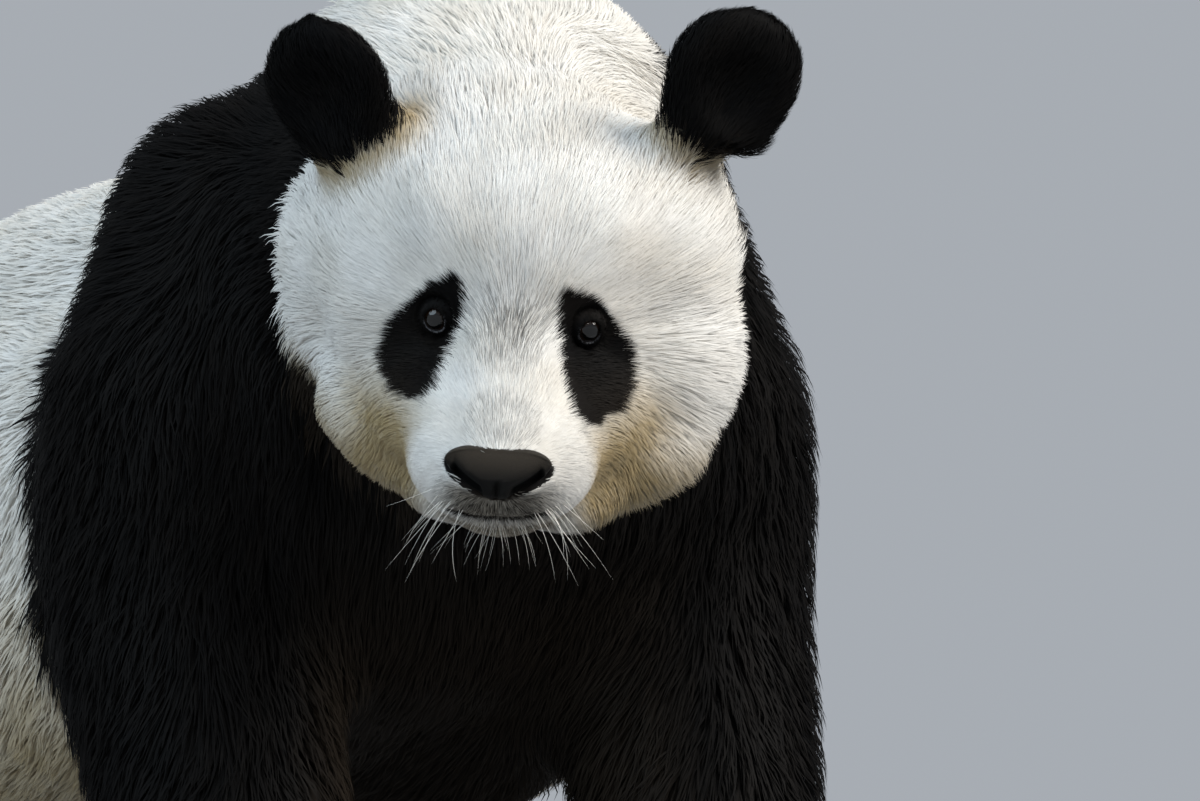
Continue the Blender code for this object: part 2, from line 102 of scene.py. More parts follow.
# How far the hide lies under the outline of each part. The head's own depths add up from the face outward.
FACE_DEPTH, CHEEK_DEPTH, BACK_OF_HEAD_DEPTH, MUZZLE_THINNING = 0.0045, 0.0060, 0.0055, 0.55
DEPTH_BLENDING, AFTER_SINKING = 24, (2, 0.4)
LOWEST_HIDE = 0.0008
COAT_DEPTH = {
    "head": 0.0085,
    "neck": 0.020,
    "trunk": 0.022,
    "tail": 0.016,
    "foreleg": 0.017,
    "forepaw": 0.006,
    "hindleg": 0.017,
    "hindpaw": 0.006,
    "ear": 0.0050,
}
PARTS = sorted(COAT_DEPTH)
flesh = sorted(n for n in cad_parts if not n.startswith(("claw", "eye", "nose")))
SIDES = {"left": 1.0, "right": -1.0}


def step(low, high, values):
    """0 at low, 1 at high, with a smooth rise between. low may be the larger."""
    t = np.clip((values - low) / (high - low), 0.0, 1.0)
    return t * t * (3.0 - 2.0 * t)


def bell(distance, width):
    """1 at no distance, falling away smoothly over about that width."""
    return np.exp(-((distance / width) ** 2))


def unit(vectors):
    return vectors / np.maximum(np.linalg.norm(vectors, axis=1, keepdims=True), 1e-9)


def flattened(vectors, up):
    """What is left of the vectors without the part that points along up."""
    return vectors - up * np.sum(vectors * up, axis=1)[:, None]


def relaxed(values, rounds, strength=0.5):
    """The values at the hide's points, drawn towards the mean of each point's neighbours."""
    first, second = edges.T
    for _ in range(rounds):
        total = np.empty_like(values)
        for k in range(values.shape[1]):
            total[:, k] = np.bincount(first, values[second, k], len(values))
            total[:, k] += np.bincount(second, values[first, k], len(values))
        values = values + strength * (total / degree[:, None] - values)
    return values


# The head's own frame: X its left, -Y its nose, Z its crown, starting between the eyes.
leftward = (left_eye - right_eye).normalized()
ahead = centre("nose") - mid_eye
ahead = (ahead - leftward * ahead.dot(leftward)).normalized()
backward = -(ahead * cos(NOSE_BELOW) + leftward.cross(-ahead) * sin(NOSE_BELOW))
crownward = leftward.cross(backward)
head_origin = np.array(mid_eye - backward * EYE_BEHIND - crownward * EYE_ABOVE)
HEAD_AXES = np.array([leftward, backward, crownward]).T


def to_head(points):
    return (points - head_origin) @ HEAD_AXES


def from_head(points):
    return np.asarray(points) @ HEAD_AXES.T + head_origin


def finished(shape, name):
    """The worked shape, as a mesh."""
    mesh = bpy.data.meshes.new(name)
    shape.to_mesh(mesh)
    shape.free()
    return mesh


def set_places(mesh, points):
    mesh.vertices.foreach_set("co", points.astype(np.float32).ravel())


def shade_smooth(mesh):
    mesh.polygons.foreach_set("use_smooth", np.ones(len(mesh.polygons), bool))


def mesh_array(items, attribute, width, kind=np.float32):
    found = np.empty(len(items) * width, kind)
    items.foreach_get(attribute, found)
    found = found.reshape(-1, width)
    return found.astype(float) if kind == np.float32 else found


cast = bmesh.new()
for node in [*flesh, "eye_left", "eye_right", "nose"]:
    cast.from_mesh(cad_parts[node].data)
bmesh.ops.remove_doubles(cast, verts=cast.verts, dist=SAME_PLACE)
cast.normal_update()
for vert in cast.verts:
    vert.co += vert.normal * SWELL
outline = put("outline", finished(cast, "outline"))
remesh = outline.modifiers.new("even", "REMESH")
remesh.mode = "VOXEL"
remesh.voxel_size = SKIN_VOXEL
graph = bpy.context.evaluated_depsgraph_get()
even_mesh = bpy.data.meshes.new_from_object(outline.evaluated_get(graph))
bpy.data.objects.remove(outline)

eyes = {"left": np.array(left_eye), "right": np.array(right_eye)}
# The hide is finer over the face, and finer again round the eyes.
face_centre = Vector(from_head((0.0, -0.045, -0.035)))
REFINED = ((0.115, [face_centre]), (0.034, [left_eye, right_eye]), (0.019, [left_eye, right_eye]))
shape = bmesh.new()
shape.from_mesh(even_mesh)
for reach, near in REFINED:
    chosen = {
        edge
        for face in shape.faces
        if min((face.calc_center_median() - place).length for place in near) < reach
        for edge in face.edges
    }
    bmesh.ops.subdivide_edges(shape, edges=list(chosen), cuts=1, use_grid_fill=True)
bmesh.ops.triangulate(shape, faces=shape.faces[:])
skin_mesh = finished(shape, "skin")

edges = mesh_array(skin_mesh.edges, "vertices", 2, np.int32)
triangles = mesh_array(skin_mesh.polygons, "vertices", 3, np.int32)
places = mesh_array(skin_mesh.vertices, "co", 3)
degree = np.bincount(edges.ravel(), minlength=len(places)).astype(float)
for _ in range(SMOOTHINGS):
    places = relaxed(relaxed(places, 1, SMOOTH_IN), 1, SMOOTH_OUT)


def face_normals(points):
    """The hide's normal on each triangle, twice as long as the triangle is large."""
    corner = points[triangles]
    return np.cross(corner[:, 1] - corner[:, 0], corner[:, 2] - corner[:, 0])


def normals_of(points):
    faces = face_normals(points)
    total = np.zeros_like(points)
    for k in range(3):
        for axis in range(3):
            total[:, axis] += np.bincount(triangles[:, k], faces[:, axis], len(points))
    return unit(total)


# Each point of the hide belongs to the nearest solid of flesh.
solid_points, solid_faces, solid_part = [], [], []
for node in flesh:
    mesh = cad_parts[node].data
    mesh.calc_loop_triangles()
    corners = mesh_array(mesh.loop_triangles, "vertices", 3, np.int32)
    solid_faces.extend((corners + sum(map(len, solid_points))).tolist())
    solid_points.append(mesh_array(mesh.vertices, "co", 3))
    label = PARTS.index(next(p for p in PARTS if node.startswith(p)))
    solid_part.extend([label] * len(corners))
solid_tree = BVHTree.FromPolygons(np.concatenate(solid_points).tolist(), solid_faces)
solid_part = np.array(solid_part)
part = solid_part[[solid_tree.find_nearest(p)[2] for p in places.tolist()]]


def is_part(labels, *names):
    return np.isin(labels, [PARTS.index(n) for n in names])


in_head = to_head(places)
depth = np.array([COAT_DEPTH[p] for p in PARTS])[part]
cheek = step(0.045, 0.105, np.abs(in_head[:, 0]))
muzzle = step(-0.020, -0.060, in_head[:, 1])
on_head = is_part(part, "head")
behind = step(0.02, 0.10, in_head[:, 1])
depth = np.where(on_head, FACE_DEPTH + CHEEK_DEPTH * cheek + BACK_OF_HEAD_DEPTH * behind, depth)
depth = np.where(on_head, depth * (1.0 - MUZZLE_THINNING * muzzle), depth)
depth = relaxed(depth[:, None], DEPTH_BLENDING)[:, 0]
normals = normals_of(places)
sole = step(0.020, 0.006, places[:, 2]) * step(-0.3, -0.8, normals[:, 2])
depth = depth * (1.0 - sole)
places = places - normals * (depth + SWELL)[:, None]
places = relaxed(places, *AFTER_SINKING)
places[:, 2] = np.maximum(places[:, 2], LOWEST_HIDE)

# The lids: a shell over each eyeball, open in a slanted almond, that dips behind the ball inside it.
EYE_LOOKS = (0.30, -0.94, 0.05)
LID_SWELLING, SWELLING_AT, SWELLING_WIDTH = 0.0007, 1.12, 0.12
LID_TUCK = 0.005
LID_FADES, LID_ENDS = 0.018, 0.030
# These are shares of the opening's size, where 1 is the lid's edge.
OPEN_WITHIN, DRAWN_TO_EDGE = 0.9, (0.78, 1.06)
SHELL_MELTS, BARE_ENDS = (1.15, 2.3), (1.16, 1.30)
WET_SHEEN_AT, WET_SHEEN_WIDTH = 1.03, 0.055
eye_axes = {}
bare, wet_rim_sheen = np.zeros(len(places)), np.zeros(len(places))
for side, sign in SIDES.items():
    ball = eyes[side]
    ahead_axis = from_head((sign * EYE_LOOKS[0], *EYE_LOOKS[1:])) - head_origin
    ahead_axis /= np.linalg.norm(ahead_axis)
    outward = HEAD_AXES[:, 0] * sign
    outward = outward - ahead_axis * outward.dot(ahead_axis)
    outward /= np.linalg.norm(outward)
    upward = np.cross(ahead_axis, outward) * -sign
    upward *= np.sign(upward.dot(HEAD_AXES[:, 2]))
    eye_axes[side] = (outward, upward, ahead_axis)
    offset = places - ball
    u, v, w = offset @ outward, offset @ upward, offset @ ahead_axis
    u, v = u * cos(LID_SLANT) - v * sin(LID_SLANT), u * sin(LID_SLANT) + v * cos(LID_SLANT)
    reach = np.sqrt((u / LID_OPENING[0]) ** 2 + (v / LID_OPENING[1]) ** 2)
    front = w > -0.002
    rim = front & (reach > DRAWN_TO_EDGE[0]) & (reach < DRAWN_TO_EDGE[1])
    onto_rim = np.where(rim, 1.0 / np.maximum(reach, 0.1) - 1.0, 0.0)[:, None]
    in_plane = offset - ahead_axis * w[:, None]
    places = places + in_plane * onto_rim
    flat = np.sqrt(u**2 + v**2) * (1.0 + onto_rim[:, 0])
    reach = np.where(rim, 1.0, reach)
    shell = EYE_RADIUS + LID_THICKNESS
    swelling = LID_SWELLING * bell(reach - SWELLING_AT, SWELLING_WIDTH)
    lid = np.sqrt(np.maximum(shell**2 - flat**2, 0.0)) + swelling
    tucked = np.sqrt(np.maximum(EYE_RADIUS**2 - flat**2, 0.0)) - LID_TUCK
    away = step(*SHELL_MELTS, reach)
    target = lid * (1.0 - away) + np.maximum(w, lid) * away
    target = np.where(reach < OPEN_WITHIN, tucked, target)
    active = front & (flat < LID_ENDS) & (np.linalg.norm(offset, axis=1) < 1.5 * LID_ENDS)
    strength = np.where(active, 1.0 - step(LID_FADES, LID_ENDS, flat), 0.0)
    places = places + ahead_axis * ((target - w) * strength)[:, None]
    bare = np.maximum(bare, np.where(active, 1.0 - step(*BARE_ENDS, reach), 0.0))
    # Painted sheen: a pale grey line along each lower lid's rim stands in for the light on its wet edge.
    lower_rim = bell(reach - WET_SHEEN_AT, WET_SHEEN_WIDTH) * step(0.5, -0.3, v / LID_OPENING[1])
    wet_rim_sheen = np.maximum(wet_rim_sheen, np.where(active, lower_rim, 0.0))

# The nose's bed: the hide sinks behind the bare pad.
NOSE_MIDDLE = np.array((-0.001, -0.1085, -0.0475))
BED_HALF_WIDTH, BED_LENGTH, BED_ABOVE, BED_BELOW = 0.0335, 0.024, 0.0135, 0.0175
BED_NARROWING, BED_SINKS, BED_WALL = 0.42, 0.012, (1.05, 0.75)


def nose_bed(q):
    """How far each place is from the middle of the nose's bed, where 1 is its edge. It narrows below."""
    out, back, up = (q - NOSE_MIDDLE).T
    height = np.where(up < 0.0, BED_BELOW, BED_ABOVE)
    width = BED_HALF_WIDTH * (1.0 - BED_NARROWING * step(0.0, -0.016, up))
    return np.sqrt((out / width) ** 2 + (back / BED_LENGTH) ** 2 + (up / height) ** 2)


places = places + HEAD_AXES[:, 1] * (BED_SINKS * step(*BED_WALL, nose_bed(to_head(places))))[:, None]

# The loose skin of the right jaw hangs fuller than the cheek above it.
JAW_PUSHES = (((-0.120, 0.058, -0.098), 0.011), ((-0.130, 0.070, -0.048), -0.008))
PUSH_REACH = 0.028
for spot, push in JAW_PUSHES:
    near = np.exp(-np.sum(((to_head(places) - spot) / PUSH_REACH) ** 2, axis=1))
    places = places - HEAD_AXES[:, 0] * (push * near)[:, None]

# The lips: a shallow groove that curves up at its ends, and a split from it to the nose.
MOUTH_DEPTH, MOUTH_HALF_WIDTH, MOUTH_DROP, MOUTH_CURVE = 0.0045, 0.036, -0.0845, 1.5
MOUTH_TILT = 0.066
LIP_WIDTH, LIP_FADES = 0.0032, 0.026
SPLIT_WIDTH, SPLIT_DEPTH = 0.0025, 0.0012


def above_mouth(q):
    """How far each place is above the line between the lips."""
    return q[:, 2] - (MOUTH_DROP + MOUTH_TILT * q[:, 0] + MOUTH_CURVE * q[:, 0] ** 2)


in_head = to_head(places)
groove = above_mouth(in_head)
lips = bell(groove, LIP_WIDTH) * (1.0 - step(LIP_FADES, MOUTH_HALF_WIDTH + 0.006, np.abs(in_head[:, 0])))
lips = lips * step(-0.050, -0.075, in_head[:, 1])
split = bell(in_head[:, 0], SPLIT_WIDTH) * step(-0.060, -0.068, in_head[:, 2])
split = split * step(MOUTH_DROP, MOUTH_DROP + 0.006, in_head[:, 2]) * step(-0.05, -0.08, in_head[:, 1])
normals = normals_of(places)
places = places - normals * (MOUTH_DEPTH * lips + SPLIT_DEPTH * split)[:, None]
normals = normals_of(places)
in_head = to_head(places)
set_places(skin_mesh, places)
skin_mesh.update()
shade_smooth(skin_mesh)

# -------- the skin's colour
# White and black hair grow from the same hide, and the skin is tinted as the hair above it is, only darker.
# The black is on the ears, round the eyes, on all four legs and in a band over the shoulders.
WAVE_COUNT, WAVE_HEIGHT = 7, 3.6


def waves(points, size, seed):
    """Smooth random values from -1 to 1 that change over about that size, in metres."""
    own = np.random.default_rng(seed)
    total = np.zeros(len(points))
    for _ in range(WAVE_COUNT):
        way = own.normal(size=3)
        way *= 2.0 * pi / size / np.linalg.norm(way) * own.uniform(0.5, 1.1)
        total += np.sin(points @ way + own.uniform(0.0, 2.0 * pi))
    return np.clip(total / WAVE_HEIGHT, -1.0, 1.0)


EYE_OUT = 0.046
PATCH_HALF_LENGTH = {"left": 0.0402, "right": 0.0405}
PATCH_HALF_WIDTH = 0.0178
PATCH_SLANT = {"left": radians(27.5), "right": radians(29.0)}
PATCH_FROM_EYE = {"left": (0.0042, -0.0046), "right": (0.0077, -0.0028)}
PATCH_SWELLING, PATCH_EDGE, PATCH_WOBBLE = 0.14, (1.05, 0.95), (0.05, 0.016, 5)
EDGE_WOBBLES = ((0.008, 0.09, 7), (0.004, 0.03, 8))
NAPE_HALF_WIDTH, NAPE_NARROWING, NAPE_DRAWN_IN = 0.142, 0.03, 0.035
NAPE_MIDDLE, NAPE_SWAY = 0.034, 0.089
NAPE_END, NAPE_LOWEST, NAPE_LIFT = -0.215, 0.60, 0.075
# The rear edge of the black band leans back with height and bulges back over the shoulder blade.
BAND_EDGE, BAND_LEAN, BAND_BULGE = -0.265, 0.372, 0.055
BULGE_HEIGHT, BULGE_SIZE = 0.56, 0.09
HAUNCH_HEIGHT, HAUNCH_SLOPE = 0.415, 0.16
EDGE = 0.008
BRIDGE_MARK, NOSE_MARK, CHIN_MARK_AND_SHADE, LIP_LINE_AND_SHADE, LIP_MARK_AND_SHADE = 0.48, 0.06, 0.72, 1.3, 0.52
HOLLOW_STAIN_AND_SHADE, EAR_STAIN, JOWL_STAIN_AND_SHADE, LIP_STAIN_AND_SHADE, BRIDGE_STAIN = 1.1, 0.75, 0.7, 0.5, 0.4
FACE_STAIN, BODY_STAIN, LOW_DIRT_AND_SHADE, BLACK_STAIN, CHEST_STAIN = 0.06, 0.12, 0.75, 0.05, 0.85


def eye_patch(q):
    """1 inside the dark patch round each eye, a drop that slants outward and down."""
    total = np.zeros(len(q))
    for side, sign in SIDES.items():
        out, up = PATCH_FROM_EYE[side]
        across = q[:, 0] * sign - (EYE_OUT + out)
        rise = q[:, 2] - up
        slant = PATCH_SLANT[side]
        down = -rise * cos(slant) + across * sin(slant)
        sideways = across * cos(slant) + rise * sin(slant)
        down = down / PATCH_HALF_LENGTH[side]
        width = PATCH_HALF_WIDTH * (1.0 + PATCH_SWELLING * np.clip(down, -1.0, 1.0))
        reach = np.sqrt(down**2 + (sideways / width) ** 2)
        high, size, seed = PATCH_WOBBLE
        total = np.maximum(total, step(*PATCH_EDGE, reach + high * waves(q, size, seed)))
    return total * step(0.060, 0.045, q[:, 1])


ear_middles = {side: np.array(centre("ear_" + side)) for side in SIDES}


def markings(points, part):
    """How black and how stained with cream the coat is, each from 0 to 1. Both also hold painted shade: in
    the cheek hollows, on the jowls and chin, along the mouth and low on the body.
    """
    q = to_head(points)
    x, y, z = points.T
    head, ear = is_part(part, "head"), is_part(part, "ear")
    wobble = sum(high * waves(points, size, seed) for high, size, seed in EDGE_WOBBLES)

    bulge = BAND_BULGE * bell(z - BULGE_HEIGHT, BULGE_SIZE)
    edge = BAND_EDGE + (z - 0.30) * BAND_LEAN + bulge + wobble
    band = step(edge + 0.006, edge - 0.006, y)
    middle = NAPE_MIDDLE - NAPE_SWAY * step(-0.22, -0.52, y)
    on_right = step(-0.02, -0.07, x)
    half = NAPE_HALF_WIDTH - NAPE_NARROWING * step(-0.45, -0.25, y)
    half = half - NAPE_DRAWN_IN * on_right * step(-0.30, -0.36, y)
    nape = step(half + EDGE, half - EDGE, np.abs(x - middle) + wobble)
    nape_low = NAPE_LOWEST + NAPE_LIFT * (on_right * step(-0.34, -0.40, y))
    nape = nape * step(NAPE_END + 0.01, NAPE_END - 0.01, y + wobble)
    nape = nape * step(nape_low, nape_low + 0.025, z + wobble)
    haunch = HAUNCH_HEIGHT - HAUNCH_SLOPE * (y - 0.35) + wobble
    hind = step(haunch + EDGE, haunch - EDGE, z) * step(0.235, 0.265, y + 0.25 * (z - 0.3) + wobble)
    hind = hind * step(0.03, 0.05, np.abs(x) + 0.12 * step(0.26, 0.20, z) + wobble * 0.3)
    under = step(0.02, -0.06, y) * step(0.46, 0.40, z + wobble) * step(0.18, 0.13, np.abs(x - 0.02))
    body = np.maximum.reduce([band * (1.0 - nape), hind, under])
    body = np.where(is_part(part, "foreleg", "forepaw", "hindpaw"), 1.0, body)
    body = np.where(is_part(part, "hindleg"), step(haunch + EDGE, haunch - EDGE, z), body)
    body = np.where(is_part(part, "tail"), 0.0, body)

    out, back, up = np.abs(q[:, 0]), q[:, 1], q[:, 2]
    throat = step(0.070, 0.100, back) * step(-0.080, -0.100, up)
    bridge = BRIDGE_MARK * bell(out, 0.018) * bell(up - 0.013, 0.010)
    bridge = bridge * step(0.03, 0.0, back)
    above_nose = NOSE_MARK * bell(out, 0.022) * step(-0.045, -0.030, up)
    above_nose = above_nose * step(-0.055, -0.085, back)
    # The chin and the band under the lips are grey-olive: partly their own colour, partly painted shade under
    # the mouth.
    chin = CHIN_MARK_AND_SHADE * step(-0.052, -0.064, up) * step(-0.092, -0.080, up) * step(0.042, 0.018, out)
    chin = np.maximum(chin, above_nose) * step(-0.060, -0.080, back)
    from_mouth = above_mouth(q)
    # The dark line between the lips: partly the dark lips themselves, partly painted shade in the groove
    # between them.
    mouth = LIP_LINE_AND_SHADE * bell(from_mouth, 0.0030) * step(-0.060, -0.075, back)
    mouth = np.minimum(mouth * step(0.036, 0.026, out), 1.0)
    # Partly painted shade: the band under the lips is greyed with black and cream.
    under_lip = step(-0.003, -0.009, from_mouth) * step(0.050, 0.030, out) * step(-0.03, -0.06, back)
    face = np.maximum.reduce([eye_patch(q), throat, bridge, chin, mouth, LIP_MARK_AND_SHADE * under_lip])

    from_ear = np.full(len(points), 9.0)
    for middle_point in ear_middles.values():
        from_ear = np.minimum(from_ear, np.linalg.norm(points - middle_point, axis=1))
    face = np.maximum(face, step(0.048, 0.042, from_ear + wobble * 0.3) * step(0.05, 0.08, back))
    black = np.where(head, face, np.where(ear, 1.0, body))

    # Behind and below the muzzle the white is darkened with cream: partly its own yellow stain, partly
    # painted shade in the hollow.
    hollow_stain_and_shade = bell(out - 0.070, 0.028) * bell(up + 0.068, 0.030)
    hollow_stain_and_shade = hollow_stain_and_shade * step(-0.085, -0.060, back) * step(0.050, 0.020, back)
    tan_ears = step(0.074, 0.050, from_ear) * step(0.14, 0.10, back)
    # Low on the body the white is dirtier and darker: partly dirt, partly painted shade on the underside.
    grime_and_shade = LOW_DIRT_AND_SHADE * step(0.46, 0.24, z) + BODY_STAIN
    # Under the jaw the white is darkened with cream: partly stain, partly painted shade where the jaw hangs
    # over it.
    jowl_stain_and_shade = step(-0.070, -0.100, up) * step(0.040, 0.065, out) * step(-0.080, -0.050, back)
    stains = HOLLOW_STAIN_AND_SHADE * hollow_stain_and_shade + EAR_STAIN * tan_ears + LIP_STAIN_AND_SHADE * under_lip
    stains = stains + LIP_STAIN_AND_SHADE * chin + BRIDGE_STAIN * bridge + JOWL_STAIN_AND_SHADE * jowl_stain_and_shade
    cream = np.where(head, FACE_STAIN + stains, np.where(ear, 0.0, grime_and_shade))
    cream = np.clip(cream + 0.08 * waves(points, 0.05, 9), 0.0, 1.0)
    chest = step(0.46, 0.30, z) * step(0.16, 0.10, np.abs(x - 0.01))
    cream = np.where(head | ear, cream, np.where(black > 0.5, BLACK_STAIN + CHEST_STAIN * chest, cream))
    return black, cream


class Wire:
    """A shader socket that can be used in sums. Each sum becomes a node of the same tree."""

    def __init__(self, tree, socket=None):
        self.tree = tree
        self.socket = socket

    def node(self, kind, settings, values, output=0):
        made = self.tree.nodes.new(kind)
        for name, value in settings.items():
            setattr(made, name, value)
        for name, value in values.items():
            if isinstance(value, Wire):
                self.tree.links.new(value.socket, made.inputs[name])
            else:
                made.inputs[name].default_value = value
        return Wire(self.tree, made.outputs[output])

    def maths(self, operation, first, second):
        return self.node("ShaderNodeMath", {"operation": operation}, {0: first, 1: second})

    def __add__(self, other):
        return self.maths("ADD", self, other)

    __radd__ = __add__

    def __mul__(self, other):
        return self.maths("MULTIPLY", self, other)

    __rmul__ = __mul__

    def __sub__(self, other):
        return self.maths("SUBTRACT", self, other)

    def __rsub__(self, other):
        return self.maths("SUBTRACT", other, self)

    def mix(self, first, second):
        """first where this is 0, second where it is 1. Both are colours."""
        return self.node("ShaderNodeMix", {"data_type": "RGBA"}, {0: self, 6: first, 7: second}, 2)

    def dimmed(self, colour):
        """The colour, times this value."""
        grey = self.node("ShaderNodeCombineColor", {}, {0: self, 1: self, 2: self})
        settings = {"data_type": "RGBA", "blend_type": "MULTIPLY"}
        return self.node("ShaderNodeMix", settings, {0: 1.0, 6: colour, 7: grey}, 2)


def attribute(wire, name):
    return wire.node("ShaderNodeAttribute", {"attribute_name": name}, {}, 2)


def noise(wire, scale, detail):
    return wire.node("ShaderNodeTexNoise", {}, {"Scale": scale, "Detail": detail})


def principled(name, roughness, specular):
    """A new material, and a wire in its tree."""
    made = bpy.data.materials.new(name)
    made.use_nodes = True
    shader = made.node_tree.nodes["Principled BSDF"]
    shader.inputs["Roughness"].default_value = roughness
    shader.inputs["Specular IOR Level"].default_value = specular
    return made, Wire(made.node_tree)


def join_up(material, wire, socket="Base Color"):
    shader = material.node_tree.nodes["Principled BSDF"]
    material.node_tree.links.new(wire.socket, shader.inputs[socket])


def let_light_through(material, wire, share):
    """Hair is clear enough to pass on part of the light that falls on its far side."""
    tree = material.node_tree
    through = wire.node("ShaderNodeBsdfTranslucent", {}, {"Color": wire})
    mixed = wire.node("ShaderNodeMixShader", {}, {0: share})
    tree.links.new(tree.nodes["Principled BSDF"].outputs[0], mixed.socket.node.inputs[1])
    tree.links.new(through.socket, mixed.socket.node.inputs[2])
    tree.links.new(mixed.socket, tree.nodes["Material Output"].inputs["Surface"])


WHITE, CREAM, LID_SHEEN_GREY = (0.86, 0.85, 0.825, 1.0), (0.46, 0.365, 0.21, 1.0), (0.26, 0.26, 0.28, 1.0)
BLACK, RUSTY_BLACK = (0.0025, 0.0030, 0.0038, 1.0), (0.034, 0.026, 0.019, 1.0)


def coat_colour(wire, tone):
    """The colour of the hair from how black and how cream it is, stains and painted shade alike, with patches
    a few centimetres across.
    """
    dark, cream = attribute(wire, "black"), attribute(wire, "cream")
    cloudy = wire.node("ShaderNodeTexNoise", {}, {"Scale": 22.0, "Detail": 3.0, "Roughness": 0.6})
    white = (cream * (0.75 + 0.5 * cloudy)).mix(WHITE, CREAM)
    black = (cream * 0.8 + cloudy * 0.08 + tone * 0.10).mix(BLACK, RUSTY_BLACK)
    return dark.mix(white, black)


skin_material, wire = principled("hide", roughness=0.8, specular=0.05)
speckle = noise(wire, 900.0, 2.0)
tint = coat_colour(wire, speckle * 0.5)
# Painted sheen: the wet rim of each lower lid is coloured pale grey, for the light on its wet edge.
tint = attribute(wire, "wet_sheen").mix(tint, LID_SHEEN_GREY)
join_up(skin_material, (0.80 + 0.18 * speckle).dimmed(tint))
bump = wire.node("ShaderNodeBump", {}, {"Strength": 0.35, "Distance": 0.0006, "Height": speckle})
join_up(skin_material, bump, "Normal")


def set_values(mesh, name, values):
    made = mesh.attributes.new(name, "FLOAT", "POINT")
    made.data.foreach_set("value", np.asarray(values, np.float32))


black, cream = markings(places, part)
black = np.maximum(black, np.where(bare > 0.5, 1.0, 0.0))
black = np.maximum(black, step(1.22, 1.08, nose_bed(in_head)))
set_values(skin_mesh, "black", black)
set_values(skin_mesh, "cream", cream)
set_values(skin_mesh, "wet_sheen", wet_rim_sheen)
skin_mesh.materials.append(skin_material)
skin = put("skin", skin_mesh)
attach(skin, "root")
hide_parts(*flesh)

# The hide is laid out flat, so that each hair can be given its root's place on it.
skin_mesh.uv_layers.new(name="OFBake")
bpy.context.view_layer.objects.active = skin
skin.select_set(True)
bpy.ops.object.mode_set(mode="EDIT")
bpy.ops.mesh.select_all(action="SELECT")
bpy.ops.uv.smart_project(angle_limit=radians(66.0), island_margin=0.002)
bpy.ops.object.mode_set(mode="OBJECT")
skin.select_set(False)
hide_map = mesh_array(skin_mesh.uv_layers["OFBake"].uv, "vector", 2).reshape(-1, 3, 2)

# -------- the coat's lie
# Hair lies back from the nose over the brow and cheeks, back along the neck and trunk, down the sides and
# legs, and up over the ears. It is a centimetre or two long on the face and about five on the body.
DOWN, REARWARD = np.array((0.0, 0.0, -1.0)), np.array((0.0, 1.0, 0.0))
NOSE_SOURCE = np.array((0.0, -0.122, -0.050))
BRIDGE_SOURCE = np.array((0.0, -0.030, -0.010))
EAR_ROOT = (0.022, 0.0, 0.045)
FACE_DROOP, FACE_BACK = 0.45, 0.25
LOW_BODY_TURN, SIDE_DROOP, LOW_BODY_DROOP = 0.45, 0.15, 0.75
CHEST_BACK, LEG_BACK, TAIL_BACK = 0.2, 0.32, 0.4
PAW_LIE = (0.0, -0.85, -0.45)
FLOW_ROUNDS, FLOW_STRENGTH = 14, 0.7


def lie(points, normals, part):
    """The way that the hair points at each place on the hide."""
    q = to_head(points)
    from_nose, from_bridge = unit(q - NOSE_SOURCE), unit(q - BRIDGE_SOURCE)
    on_muzzle = step(-0.020, -0.050, q[:, 1])[:, None]
    low = step(0.02, -0.09, q[:, 2])[:, None]
    fan = from_nose * on_muzzle + from_bridge * (1.0 - on_muzzle)
    head_back = unit(HEAD_AXES[:, 1][None, :])
    fan = fan @ HEAD_AXES.T + DOWN * FACE_DROOP * low + head_back * FACE_BACK * (1.0 - on_muzzle)

    steep = 1.0 - np.abs(normals[:, 2])[:, None]
    low_body = step(0.75, 0.25, points[:, 2])[:, None]
    trunk = REARWARD * (1.0 - LOW_BODY_TURN * low_body)
    trunk = trunk + DOWN * (SIDE_DROOP + LOW_BODY_DROOP * low_body) * steep
    facing = step(0.3, 0.8, -normals[:, 1])[:, None]
    trunk = trunk * (1.0 - facing) + (DOWN + CHEST_BACK * REARWARD) * facing
    rump = step(0.3, 0.9, normals[:, 1])[:, None]
    trunk = trunk * (1.0 - rump) + DOWN * rump

    leg, tail = DOWN + LEG_BACK * REARWARD, DOWN + TAIL_BACK * REARWARD
    ways = {"head": fan, "foreleg": leg, "hindleg": leg, "forepaw": PAW_LIE, "hindpaw": PAW_LIE, "tail": tail}
    found = trunk
    for name, way in ways.items():
        found = np.where(is_part(part, name)[:, None], way, found)
    for side, sign in SIDES.items():
        root = np.array((EAR_ROOT[0] * sign, *EAR_ROOT[1:]))
        base = to_head(ear_middles[side][None, :])[0] - root
        own = is_part(part, "ear") & (q[:, 0] * sign > 0.0)
        found = np.where(own[:, None], unit(q - base) @ HEAD_AXES.T, found)
    return found


flow = unit(lie(places, normals, part))
for _ in range(FLOW_ROUNDS):
    flow = unit(relaxed(unit(flattened(flow, normals)), 1, FLOW_STRENGTH))
for ball in eyes.values():
    from_eye = places - ball
    near_eye = step(0.022, 0.014, np.linalg.norm(from_eye, axis=1))[:, None]
    flow = flow * (1.0 - near_eye) + unit(from_eye) * near_eye
flow = unit(flattened(flow, normals))

# Length, width and looseness of the hair, and how densely it covers the hide, by part.
HAIR = {
    "head": (0.020, 0.00055, 0.25, 4.3),
    "neck": (0.030, 0.0010, 0.08, 4.2),
    "trunk": (0.048, 0.0023, 0.10, 3.95),
    "tail": (0.048, 0.0024, 0.36, 4.4),
    "foreleg": (0.044, 0.0017, 0.18, 4.0),
    "forepaw": (0.018, 0.0015, 0.20, 3.0),
    "hindleg": (0.046, 0.0025, 0.20, 3.8),
    "hindpaw": (0.018, 0.0017, 0.20, 3.0),
    "ear": (0.015, 0.0007, 0.28, 4.2),
}
